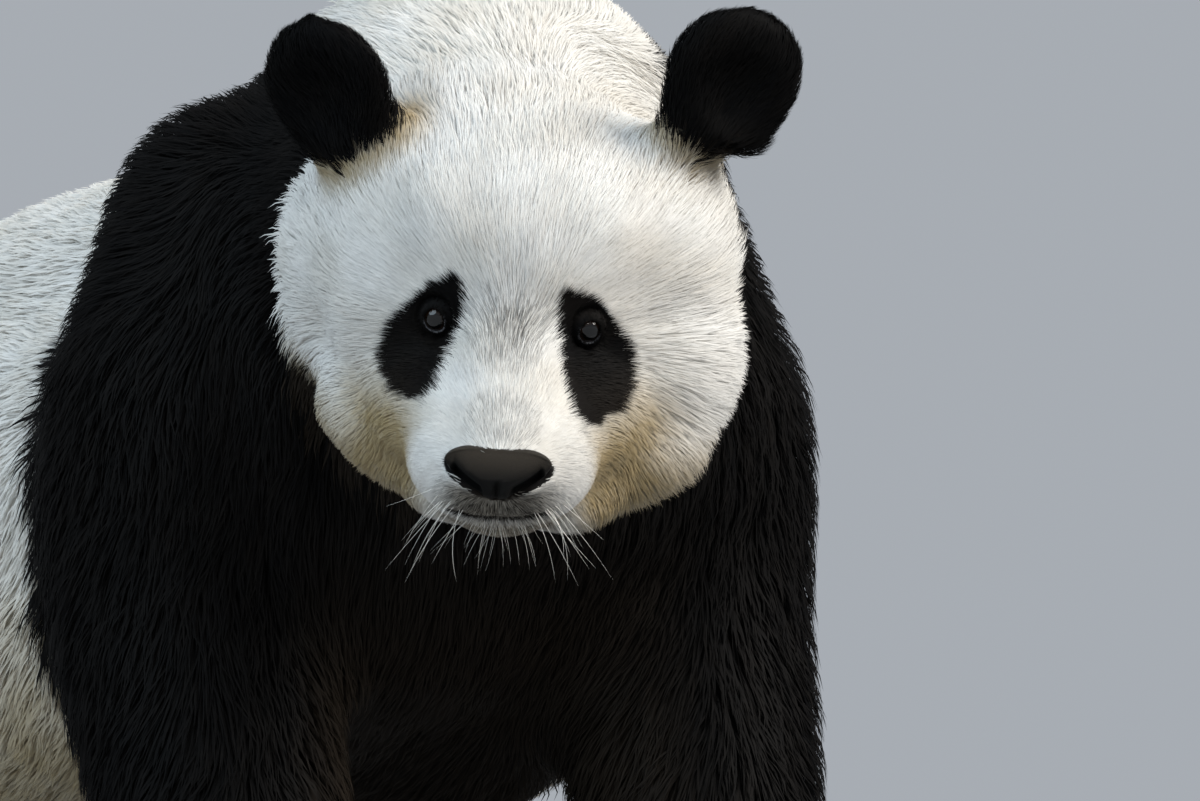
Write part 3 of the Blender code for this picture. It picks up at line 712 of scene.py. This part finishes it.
# How far it strays from its lie, by part.
WILD = {"head": 0.35, "ear": 0.6, "neck": 0.4, "trunk": 0.42, "forepaw": 0.5, "hindpaw": 0.5}
WILD_ELSEWHERE = 0.7
# How much longer and wider it is on the head: in the fringe, at the back, on the snout and round the eyes.
LONGER, WIDER = (0.55, 0.55, -0.50, -0.45), (0.25, 0.45, -0.25, -0.2)
FRINGE_LOOSE_LEFT, FRINGE_LOOSE_RIGHT = 0.33, 0.12
FINER_IN_FRONT, HAIR_BLENDING, BARER_SOLES, LEAST_DEPTH = 0.42, 12, 0.9, 0.0015
# It hangs lower between the forelegs, and lies close on the right cheek and round the eyes.
HANGS_LOWER = 0.036
CLOSER_CHEEK = {"depth": 0.5, "length": 0.3, "loose": 0.5}
CLOSER_LIDS = {"depth": 0.6, "length": 0.55}
fields = np.array([HAIR[p] for p in PARTS])[part]
length, width, loose, cover = fields.T.copy()
head_x, head_y, head_z = in_head.T
on_cheek = step(0.055, 0.115, np.abs(head_x)) * step(0.10, 0.04, head_z)
on_jaw = step(-0.075, -0.100, head_z) * step(-0.075, -0.045, head_y)
fringe = np.maximum(on_cheek, on_jaw)
wild = np.array([WILD.get(p, WILD_ELSEWHERE) for p in PARTS])[part]
zones = (fringe, step(0.04, 0.12, head_y), step(-0.045, -0.085, head_y), eye_patch(in_head))
longer = sum((gain * zone for gain, zone in zip(LONGER, zones)), 1.0)
wider = sum((gain * zone for gain, zone in zip(WIDER, zones)), 1.0)
length, width = np.where(on_head, length * longer, length), np.where(on_head, width * wider, width)
fringe_loose = np.where(head_x > 0.0, FRINGE_LOOSE_LEFT, FRINGE_LOOSE_RIGHT)
loose = np.where(on_head, loose + fringe * fringe_loose, loose)
in_front = step(-0.05, -0.25, places[:, 1])
width = np.where(is_part(part, "trunk"), width * (1.0 - FINER_IN_FRONT * in_front), width)
fields = np.stack([length, width, loose, cover, wild], 1)
length, width, loose, cover, wild = relaxed(fields, HAIR_BLENDING).T
cover = cover * (1.0 - bare) * (1.0 - BARER_SOLES * sole)
hair_depth = np.maximum(depth, LEAST_DEPTH)
cover = cover * step(0.98, 1.10, nose_bed(in_head))
hanging = step(0.30, 0.24, places[:, 2]) * step(0.11, 0.07, np.abs(places[:, 0] - 0.04))
hanging = hanging * step(0.05, -0.05, places[:, 1])
hair_depth = hair_depth + HANGS_LOWER * hanging * is_part(part, "trunk")
close_lying = np.where(on_head, step(-0.070, -0.110, head_x), 0.0)
hair_depth = hair_depth * (1.0 - CLOSER_CHEEK["depth"] * close_lying)
length = length * (1.0 - CLOSER_CHEEK["length"] * close_lying)
loose = loose * (1.0 - CLOSER_CHEEK["loose"] * close_lying)
for ball in eyes.values():
    near_eye = step(0.018, 0.010, np.linalg.norm(places - ball, axis=1))
    length = length * (1.0 - CLOSER_LIDS["length"] * near_eye)
    hair_depth = hair_depth * (1.0 - CLOSER_LIDS["depth"] * near_eye)

skin_tree = BVHTree.FromPolygons(places.tolist(), triangles.tolist())
face_area = 0.5 * np.linalg.norm(face_normals(places), axis=1)
face_middle = places[triangles].mean(axis=1)
face_part = part[triangles[:, 0]]
face_head = to_head(face_middle)


def on_faces(values, picked):
    """A value of the hide's points, over each picked face."""
    return values[triangles[picked]].mean(axis=1)


def onto_hide(points):
    """The nearest places on the hide, and the faces that they lie on."""
    found = [skin_tree.find_nearest(p) for p in points.tolist()]
    return np.array([f[0] for f in found]), np.array([f[2] for f in found])


HAIR_CLEARNESS = 0.40
coat_material, wire = principled("fur", roughness=0.60, specular=0.065)
tone, along = attribute(wire, "tone"), attribute(wire, "along")
tint = ((0.88 + 0.16 * tone) * (0.88 + 0.12 * along)).dimmed(coat_colour(wire, tone))
join_up(coat_material, tint)
let_light_through(coat_material, tint, HAIR_CLEARNESS)

# Each tuft covers a patch of this size on the hide's map.
PATCH = 0.0015
# Each tuft is counted as covering this share of its length times its width, which sets how many are grown.
OVERLAP = 0.55
LENGTHS, WIDTHS, RISES = (0.65, 1.20), (0.7, 1.3), (0.60, 1.10)
# How a tuft strays from its lie: on its own, with its neighbours, and with its lock.
STRAY, STRAY_WAVES, STRAY_LOCK = 0.12, ((0.30, 0.045, 31), (0.16, 0.017, 32)), 0.22
LOCK_WAVE, LOCK_SEED, DICE_SEED = (0.35, 3.0, 33), (73856093, 19349663, 83492791), 77
GATHERED_LENGTH, BOW, ROLL = 0.016, 0.04, 0.35
ROOT_DEPTH, LOWEST_HAIR = 0.0006, 0.0005
# The tuft's width from root to tip, as a share of its full width.
TUFT_PROFILE = {2: (0.85, 0.9, 0.0), 3: (0.75, 1.0, 0.72, 0.0)}
ROLL_TILT, TIP_TILT = 0.16, 0.15
EDGE_GRAIN, TONE_OF_LOCK, TONE_OF_TUFT = 0.9, 0.55, 0.45


def triangle_mesh(name, points, faces):
    mesh = bpy.data.meshes.new(name)
    mesh.vertices.add(len(points))
    set_places(mesh, points)
    mesh.loops.add(len(faces) * 3)
    mesh.loops.foreach_set("vertex_index", faces.astype(np.int32).ravel())
    mesh.polygons.add(len(faces))
    mesh.polygons.foreach_set("loop_start", np.arange(0, len(faces) * 3, 3, dtype=np.int32))
    mesh.update(calc_edges=True)
    return mesh


def grow(name, chosen, sections=3, clump=0.014, gather=0.45, lift=1.0):
    """One piece of the coat: flat tapered tufts, rooted on the chosen faces of the hide."""
    own = np.random.default_rng(sum(map(ord, name)))
    faces_here = np.flatnonzero(chosen)
    tuft_area = OVERLAP * on_faces(length, faces_here) * on_faces(width, faces_here)
    per_metre = on_faces(cover, faces_here) / tuft_area
    weight = np.cumsum(face_area[faces_here] * per_metre)
    grown = 1.0
    count = int(weight[-1] * grown)
    spots = (np.arange(count) + own.random(count)) * weight[-1] / count
    face = faces_here[np.minimum(np.searchsorted(weight, spots), len(faces_here) - 1)]
    a, b = own.random((2, count))
    a, b = np.where(a + b > 1.0, 1.0 - a, a), np.where(a + b > 1.0, 1.0 - b, b)
    mixing = np.stack([1.0 - a - b, a, b], 1)
    root = np.einsum("nk,nkd->nd", mixing, places[triangles[face]])
    flat_place = np.einsum("nk,nkd->nd", mixing, hide_map[face])
    hair_length = on_faces(length, face) * own.uniform(*LENGTHS, count)
    hair_width = on_faces(width, face) * own.uniform(*WIDTHS, count) / grown**0.5
    freedom = on_faces(loose, face)
    turn = own.normal(0.0, STRAY, count)
    for high, size, seed in STRAY_WAVES:
        turn = turn + high * waves(root, size, seed)

    # The hide is cut into uneven cells. The tufts of a cell lean to one knot and make a lock.
    high, size, seed = LOCK_WAVE
    cell = np.floor(root / clump + high * waves(root, clump * size, seed)[:, None]).astype(np.int64)
    code = (cell @ np.array(LOCK_SEED)) & 0xFFFF
    dice = np.random.default_rng(DICE_SEED).random((65536, 5))[code]
    knot = (cell + 0.5 + 0.5 * (dice[:, :3] - 0.5)) * clump
    turn = (turn + STRAY_LOCK * (dice[:, 3] - 0.5)) * on_faces(wild, face)

    point, straight = root, root
    path, ways, up_ways = [root], [], []
    ends = np.linspace(0.0, 1.0, sections + 1)
    rise = on_faces(hair_depth, face) * own.uniform(*RISES, count) * lift
    stride = (hair_length / sections)[:, None]
    now = face
    for k in range(sections):
        up = unit(on_faces(normals, now))
        way = unit(flattened(on_faces(flow, now), up))
        across = np.cross(up, way)
        way = way * np.cos(turn)[:, None] + across * np.sin(turn)[:, None]
        ways.append(way)
        up_ways.append(up)
        point, now = onto_hide(point + way * stride)
        straight = straight + (way if k == 0 else unit(ways[-1] + ways[0])) * stride
        share_free = (freedom * ends[k + 1] ** 1.5)[:, None]
        path.append(point * (1.0 - share_free) + straight * share_free)
    up_ways.append(unit(on_faces(normals, now)))
    ways.append(ways[-1])
    to_knot = knot - root
    to_knot = to_knot * np.clip(hair_length / GATHERED_LENGTH - 0.4, 0.0, 1.0)[:, None]
    drawn = flattened(flattened(to_knot, up_ways[0]), ways[0])
    bow = own.normal(0.0, BOW, count) * hair_length
    roll = own.normal(0.0, ROLL, count)

    rows, row_normals, row_along = [], [], []
    for k, end in enumerate(ends):
        up, way = up_ways[k], ways[k]
        across = np.cross(up, way)
        height = rise * (1.0 - (1.0 - end) ** 2.0) - ROOT_DEPTH * (1.0 - end)
        spot = path[k] + up * height[:, None] + drawn * (gather * end**1.4)
        spot = spot + across * (bow * end * (1.0 - end) * 2.0)[:, None]
        flat = across * np.cos(roll)[:, None] + up * np.sin(roll)[:, None]
        half = (hair_width * 0.5 * TUFT_PROFILE[sections][k])[:, None]
        tilt = unit(up - ROLL_TILT * np.sin(roll)[:, None] * across - TIP_TILT * way * end)
        if k < sections:
            rows += [spot - flat * half, spot + flat * half]
            row_normals += [tilt, tilt]
            row_along += [np.full(count, end)] * 2
        else:
            rows.append(spot)
            row_normals.append(tilt)
            row_along.append(np.full(count, end))
    per_hair = len(rows)
    points = np.stack(rows, 1).reshape(-1, 3)
    points[:, 2] = np.maximum(points[:, 2], LOWEST_HAIR)
    point_normals = np.stack(row_normals, 1).reshape(-1, 3)
    pattern = []
    for k in range(sections - 1):
        i = 2 * k
        pattern += [(i, i + 3, i + 1), (i, i + 2, i + 3)]
    pattern.append((per_hair - 3, per_hair - 1, per_hair - 2))
    pattern = np.array(pattern)
    faces = (np.arange(count)[:, None, None] * per_hair + pattern[None]).reshape(-1, 3)

    mesh = triangle_mesh(name, points, faces)
    shown_at = (path[1] + path[sections - 1]) / 2
    root_black, root_cream = markings(shown_at, face_part[face])
    grain = own.random(count)
    mingled = (root_black > 0.02) * (root_black < 0.98)
    root_black = np.clip(root_black + (grain - 0.5) * EDGE_GRAIN * mingled, 0.0, 1.0)
    tone_here = TONE_OF_LOCK * dice[:, 4] + TONE_OF_TUFT * own.random(count)
    for value_name, values in (("black", root_black), ("cream", root_cream), ("tone", tone_here)):
        set_values(mesh, value_name, np.repeat(values, per_hair))
    set_values(mesh, "along", np.stack(row_along, 1).ravel())
    sideways = np.append(np.tile((-1.0, 1.0), sections), 0.0)
    spread = np.stack([sideways, np.array(row_along)[:, 0] * 2.0 - 1.0], 1)
    hair_map = (flat_place[:, None, :] + PATCH * spread[None]).reshape(-1, 2)
    layer = mesh.uv_layers.new(name="OFBake")
    layer.uv.foreach_set("vector", hair_map[faces.ravel()].astype(np.float32).ravel())
    shade_smooth(mesh)
    mesh.normals_split_custom_set_from_vertices(point_normals.astype(np.float32))
    mesh.materials.append(coat_material)
    piece = put(name, mesh)
    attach(piece, "root")


# -------- the coat of the head
# Short, fine, close hair on the face, longer on the cheeks and jaw, where it stands out in a fringe.
# It is rooted in the hide of the head, and stops at the nose pad and at the lids.
left_half, low_face, crown = face_head[:, 0] > 0.0, face_head[:, 2] < -0.005, face_head[:, 2] > 0.02
on_muzzle = (face_head[:, 1] < -0.045) & (np.abs(face_head[:, 0]) < 0.07)
head_face = is_part(face_part, "head")
face_side, rear = head_face & (face_head[:, 1] < 0.035), head_face & (face_head[:, 1] >= 0.035)
brow, cheeks = face_side & ~on_muzzle & ~low_face, face_side & ~on_muzzle & low_face
grow("coat_muzzle", head_face & on_muzzle, sections=2, clump=0.006, gather=0.15, lift=0.8)
grow("coat_brow", brow, sections=2, clump=0.008, gather=0.15, lift=0.6)
grow("coat_cheek_left", cheeks & left_half, clump=0.009, gather=0.35)
grow("coat_cheek_right", cheeks & ~left_half, clump=0.009, gather=0.30, lift=0.7)
grow("coat_crown", rear & crown, clump=0.010, gather=0.25, lift=0.7)
grow("coat_jowls", rear & ~crown, clump=0.011)

# -------- the coat of the ears
# Dense, fuzzy, short black hair on both faces of the ear, standing out round the rim.
# It is rooted in the ear's own fold of hide.
ear_faces = is_part(face_part, "ear")
grow("coat_ear_left", ear_faces & left_half, sections=2, clump=0.007, gather=0.3)
grow("coat_ear_right", ear_faces & ~left_half, sections=2, clump=0.007, gather=0.3)

# -------- the coat of the neck and trunk
# Coarse hair in flat locks, which part and overlap, rooted in the hide. It is black over the shoulders and
# the chest, and white on the nape, the back, the belly, the rump and the tail.
trunk_faces = is_part(face_part, "trunk")
middle_x, middle_y, middle_z = face_middle.T
forward, rearmost, high = middle_y < -0.12, middle_y > 0.28, middle_z > 0.47
barrel = trunk_faces & ~forward & ~rearmost
own_half = {"left": middle_x > 0.0, "right": middle_x <= 0.0}
grow("coat_neck", is_part(face_part, "neck"), clump=0.014, gather=0.3, lift=0.7)
for side, half in own_half.items():
    shoulder = trunk_faces & forward & half
    grow("coat_shoulder_" + side, shoulder, clump=0.016, gather=0.35, lift=0.8)
grow("coat_back", barrel & high, clump=0.018, gather=0.25, lift=0.7)
grow("coat_belly", barrel & ~high, clump=0.018, gather=0.3, lift=0.8)
grow("coat_rump", trunk_faces & rearmost, clump=0.018, gather=0.25, lift=0.7)
grow("coat_tail", is_part(face_part, "tail"), clump=0.016)

# -------- the coat of the legs and paws
# Black hair with a rusty tinge, rooted in the hide. It runs down the limb and shortens over the toes.
# The pieces go by limb: the coarse hair of each leg, then the short hair of its paw.
for side, half in own_half.items():
    grow("coat_foreleg_" + side, is_part(face_part, "foreleg") & half, clump=0.015)
    grow("coat_hindleg_" + side, is_part(face_part, "hindleg") & half, clump=0.017)
    for paw in ("forepaw", "hindpaw"):
        chosen = is_part(face_part, paw) & half
        grow(f"coat_{paw}_{side}", chosen, sections=2, clump=0.010)

# -------- the whiskers
# Long, thin, pale bristles that spring from the lips and the chin and droop towards their tips.
# Each is rooted a millimetre deep in the hide of the muzzle.
WHISKER_COUNT, WHISKER_RINGS, WHISKER_RADIUS, WHISKER_TAPER = 52, 9, 0.00020, 0.9
WHISKER_ROOT, WHISKER_STRAY, WHISKER_DROOP, BEND_STRAY = 0.001, 0.12, 0.5, 0.35
SPREADS, AHEAD_OF_LIPS = (0.25, 14.0), -0.105
# Where they spring from in the head's frame, and how long and thick they are.
LIP_WHISKER = {"out": (0.022, 0.050), "height": (-0.090, -0.072), "reach": (0.022, 0.062), "thick": 1.0}
CHIN_WHISKER = {"out": (0.0, 0.030), "height": (-0.105, -0.094), "reach": (0.014, 0.034), "thick": 0.6}
own = np.random.default_rng(61)
points, faces = [], []
for number in range(WHISKER_COUNT):
    side = -1.0 if number % 2 else 1.0
    kind = CHIN_WHISKER if number % 4 > 1 else LIP_WHISKER
    out, height = own.uniform(*kind["out"]), own.uniform(*kind["height"])
    start, _, _, _ = skin_tree.find_nearest(Vector(from_head((side * out, AHEAD_OF_LIPS, height))))
    reach = own.uniform(*kind["reach"])
    way = (side * (SPREADS[0] + out * SPREADS[1]), own.uniform(-0.7, -0.2), own.uniform(-1.0, -0.5))
    aim_way = from_head(way) - head_origin
    aim_way = aim_way / np.linalg.norm(aim_way) + own.normal(0.0, WHISKER_STRAY, 3)
    bend = DOWN * WHISKER_DROOP + own.normal(0.0, BEND_STRAY, 3)
    spot = np.array(start) - WHISKER_ROOT * aim_way
    first = len(points)
    for ring in range(WHISKER_RINGS):
        end = ring / (WHISKER_RINGS - 1)
        way = aim_way + bend * end
        way /= np.linalg.norm(way)
        sideways = np.cross(way, (0.0, 0.0, 1.0))
        sideways /= np.linalg.norm(sideways)
        upward = np.cross(sideways, way)
        thick = WHISKER_RADIUS * (1.0 - WHISKER_TAPER * end) * kind["thick"]
        for corner_angle in (0.0, 2.0 * pi / 3.0, 4.0 * pi / 3.0):
            points.append(spot + thick * (sideways * cos(corner_angle) + upward * sin(corner_angle)))
        spot = spot + way * reach / (WHISKER_RINGS - 1)
    for ring in range(WHISKER_RINGS - 1):
        for k in range(3):
            low, after = first + 3 * ring + k, first + 3 * ring + (k + 1) % 3
            faces += [(low, after, after + 3), (low, after + 3, low + 3)]
    tip = first + 3 * WHISKER_RINGS
    faces.append((tip - 3, tip - 2, tip - 1))
whisker_mesh = triangle_mesh("whiskers", np.array(points), np.array(faces))
shade_smooth(whisker_mesh)
whisker_material, wire = principled("bristle", roughness=0.45, specular=0.4)
STRAW, IVORY = (0.60, 0.57, 0.50, 1.0), (0.85, 0.83, 0.78, 1.0)
join_up(whisker_material, noise(wire, 60.0, 1.0).mix(STRAW, IVORY))
whisker_mesh.materials.append(whisker_material)
whiskers = put("whiskers", whisker_mesh)
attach(whiskers, "root")

# -------- the eyes
# Small round brown eyes, almost black, wet and bulging under the lids.
# Each is one ball, held in its socket and seen through the lids. Its rings are angles off its own axis.
PUPIL_EDGE, WHITE_EDGE, CORNEA_EDGE = (0.42, 0.52), (0.86, 0.98), (0.30, 0.75)
CORNEA_HEIGHT = 0.0007
PUPIL, BROWN, EYE_WHITE = (0.001, 0.001, 0.001, 1.0), (0.012, 0.0055, 0.0025, 1.0), (0.05, 0.03, 0.025, 1.0)
eye_material, wire = principled("eyeball", roughness=0.04, specular=0.5)


def beyond(edge):
    """0 inside the ring and 1 outside it, with a short blend over the edge."""
    values = {"Value": attribute(wire, "ring"), "From Min": edge[0], "From Max": edge[1]}
    return wire.node("ShaderNodeMapRange", {}, values)


iris = beyond(PUPIL_EDGE).mix(PUPIL, BROWN)
join_up(eye_material, beyond(WHITE_EDGE).mix(iris, EYE_WHITE))
for side in SIDES:
    outward, upward, ahead_axis = eye_axes[side]
    ball = bmesh.new()
    turn = Matrix(np.array([outward, upward, ahead_axis]).T.tolist()).to_4x4()
    bmesh.ops.create_uvsphere(ball, u_segments=64, v_segments=48, radius=EYE_RADIUS, matrix=turn)
    mesh = finished(ball, "eyeball_" + side)
    around = mesh_array(mesh.vertices, "co", 3)
    angle = np.arccos(np.clip(around @ ahead_axis / EYE_RADIUS, -1.0, 1.0))
    cornea = CORNEA_HEIGHT * (1.0 - step(*CORNEA_EDGE, angle))
    around = around * (1.0 + cornea / EYE_RADIUS)[:, None] + eyes[side]
    set_places(mesh, around)
    set_values(mesh, "ring", angle)
    shade_smooth(mesh)
    mesh.materials.append(eye_material)
    piece = put("eyeball_" + side, mesh)
    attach(piece, "root")
    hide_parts("eye_" + side)

# -------- the nose
# A broad bare pad of pebbled black skin, wide and flat above, narrow below, with two slanted nostrils and a
# groove between them. It is set in the bed at the end of the muzzle. Its top is painted paler brown, a
# painted sheen, and the whole pad is mottled by wear.
NOSE_HALF = (0.0346, 0.0165, 0.0170)
WIDE_CORNERS, TALL_CORNERS = 0.82, 0.90
NARROWEST, NARROW_FROM, NARROW_OVER, NARROW_CURVE = 0.18, 1.02, 1.35, 0.70
CORNER_LIFT, MIDDLE_DIP = 0.22, 0.06
NOSTRIL_IN, NOSTRIL_DROP, NOSTRIL_SLANT = 0.28, 0.48, 1.15
NOSTRIL_HEIGHT, NOSTRIL_FLARE, NOSTRIL_DEPTH = 0.20, 0.14, 0.0080
GROOVE_WIDTH, GROOVE_DEPTH, TOP_BACK, SIDES_BACK = 0.045, 0.0018, 0.004, 0.0035
LEATHER_BLACK, LIT_AND_WORN_BROWN = (0.0012, 0.0012, 0.0012, 1.0), (0.066, 0.055, 0.043, 1.0)
NOSTRIL_SHADE_BLACK = (0.0004, 0.0004, 0.0004, 1.0)
nose = bmesh.new()
bmesh.ops.create_icosphere(nose, subdivisions=6, radius=1.0)
nose_mesh = finished(nose, "nose_pad")
a, b, c = mesh_array(nose_mesh.vertices, "co", 3).T
a = np.sign(a) * np.abs(a) ** WIDE_CORNERS
c = np.sign(c) * np.abs(c) ** TALL_CORNERS
height_share = np.clip((c + NARROW_FROM) / NARROW_OVER, 0.0, 1.0)
narrow = NARROWEST + (1.0 - NARROWEST) * height_share**NARROW_CURVE
pad = np.stack([a * narrow * NOSE_HALF[0], b * NOSE_HALF[1], c * NOSE_HALF[2]], 1)
pad[:, 2] += NOSE_HALF[2] * (CORNER_LIFT * np.abs(a) ** 1.8 - MIDDLE_DIP) * step(-0.3, 0.6, c)
across, rise = pad[:, 0] / NOSE_HALF[0], pad[:, 2] / NOSE_HALF[2]
front = step(0.0, -0.5, b)
sink = np.zeros(len(pad))
for sign in (1.0, -1.0):
    s = across * sign
    slit = rise + NOSTRIL_DROP - NOSTRIL_SLANT * (s - NOSTRIL_IN)
    sink += bell(slit, NOSTRIL_HEIGHT + NOSTRIL_FLARE * s) * step(0.20, 0.32, s) * step(0.86, 0.74, s)
groove = bell(across, GROOVE_WIDTH) * step(0.25, -0.2, rise)
top = step(0.1, 0.9, rise)
pad[:, 1] += front * (NOSTRIL_DEPTH * sink + GROOVE_DEPTH * groove)
pad[:, 1] += TOP_BACK * top * front
pad[:, 1] += SIDES_BACK * (across**2) * front
set_places(nose_mesh, from_head(pad + NOSE_MIDDLE))
shade_smooth(nose_mesh)
nose_mesh.update()
set_values(nose_mesh, "hole", np.clip(1.5 * sink * front, 0.0, 1.0))
set_values(nose_mesh, "top", top)
nose_material, wire = principled("nose_leather", roughness=0.42, specular=0.09)
pebble = wire.node("ShaderNodeTexVoronoi", {"feature": "F1"}, {"Scale": 520.0})
wear_and_light_mottle = noise(wire, 120.0, 4.0)
hole = attribute(wire, "hole")
# Painted sheen: the pad's top is coloured paler brown where light falls on it. The faint mottle over the
# whole pad is wear.
leather = (attribute(wire, "top") * wear_and_light_mottle * 1.2 + 0.12 * wear_and_light_mottle).mix(LEATHER_BLACK, LIT_AND_WORN_BROWN)
# Painted shade: the nostrils are coloured blacker than the leather, for the dark inside them.
join_up(nose_material, hole.mix(leather, NOSTRIL_SHADE_BLACK))
join_up(nose_material, 0.34 + 0.24 * wear_and_light_mottle + 0.5 * hole, "Roughness")
bump = wire.node("ShaderNodeBump", {}, {"Strength": 0.9, "Distance": 0.0012, "Height": pebble})
join_up(nose_material, bump, "Normal")
nose_mesh.materials.append(nose_material)
nose_piece = put("nose_pad", nose_mesh)
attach(nose_piece, "root")
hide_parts("nose")

# -------- the claws
# Five on each foot, of dark horn streaked with paler brown. They grow from the toes and stay out, so each
# takes the shape of its solid, rounded.
DARK_HORN, PALE_HORN = (0.016, 0.013, 0.011, 1.0), (0.075, 0.060, 0.046, 1.0)
claw_material, wire = principled("horn", roughness=0.45, specular=0.2)
join_up(claw_material, noise(wire, 260.0, 3.0).mix(DARK_HORN, PALE_HORN))
for foot in ("fore_left", "fore_right", "hind_left", "hind_right"):
    for toe in range(1, 6):
        node = f"claw_{foot}_{toe}"
        shape = bmesh.new()
        shape.from_mesh(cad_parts[node].data)
        bmesh.ops.remove_doubles(shape, verts=shape.verts, dist=SAME_PLACE)
        mesh = finished(shape, f"horn_{foot}_{toe}")
        mesh.materials.append(claw_material)
        piece = put(mesh.name, mesh)
        rounded = piece.modifiers.new("rounded", "SUBSURF")
        rounded.levels = rounded.render_levels = 2
        shade_smooth(mesh)
        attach(piece, "root")
        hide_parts(node)

# -------- the floor and the light
# A plain grey studio floor under three broad lamps: a warm one high on the right, a cooler one high on the
# left, and a small faint one over the camera, for the glint in the eyes. The room adds a faint blue light.
FLOOR_RADIUS = 30.0
FLOOR_GREY, DUSTY_GREY = (0.270, 0.275, 0.285, 1.0), (0.290, 0.295, 0.305, 1.0)
ROOM_LIGHT, ROOM_STRENGTH = (0.86, 0.92, 1.0, 1.0), 0.45
floor_shape = bmesh.new()
bmesh.ops.create_circle(floor_shape, cap_ends=True, radius=FLOOR_RADIUS, segments=128)
floor = put("studio_floor", finished(floor_shape, "studio_floor"))
floor_material, wire = principled("studio_floor", roughness=0.85, specular=0.2)
join_up(floor_material, noise(wire, 3.0, 4.0).mix(FLOOR_GREY, DUSTY_GREY))
floor.data.materials.append(floor_material)

world = bpy.data.worlds.new("studio")
world.use_nodes = True
world.node_tree.nodes["Background"].inputs["Color"].default_value = ROOM_LIGHT
world.node_tree.nodes["Background"].inputs["Strength"].default_value = ROOM_STRENGTH
bpy.context.scene.world = world


def soft_light(name, sideways, forward, height, spread, strength, colour):
    """An even light from that side of the head. spread is how wide it looks from there, in degrees."""
    light = bpy.data.lights.new(name, "SUN")
    light.angle = radians(spread)
    light.energy = strength
    light.color = colour
    made = put(name, light)
    made.location = mid_eye + to_right * sideways + to_camera * forward + Vector((0.0, 0.0, height))
    made.rotation_euler = (mid_eye - made.location).to_track_quat("-Z", "Y").to_euler()


soft_light("key", 2.8, 1.2, 2.1, 34.0, 4.8, (1.0, 0.96, 0.90))
soft_light("sky", -1.9, 1.5, 1.4, 55.0, 2.4, (0.70, 0.87, 1.0))
soft_light("spark", 0.35, 2.2, 1.3, 8.0, 0.5, (0.97, 0.99, 1.0))
bpy.context.scene.view_settings.view_transform = "Standard"
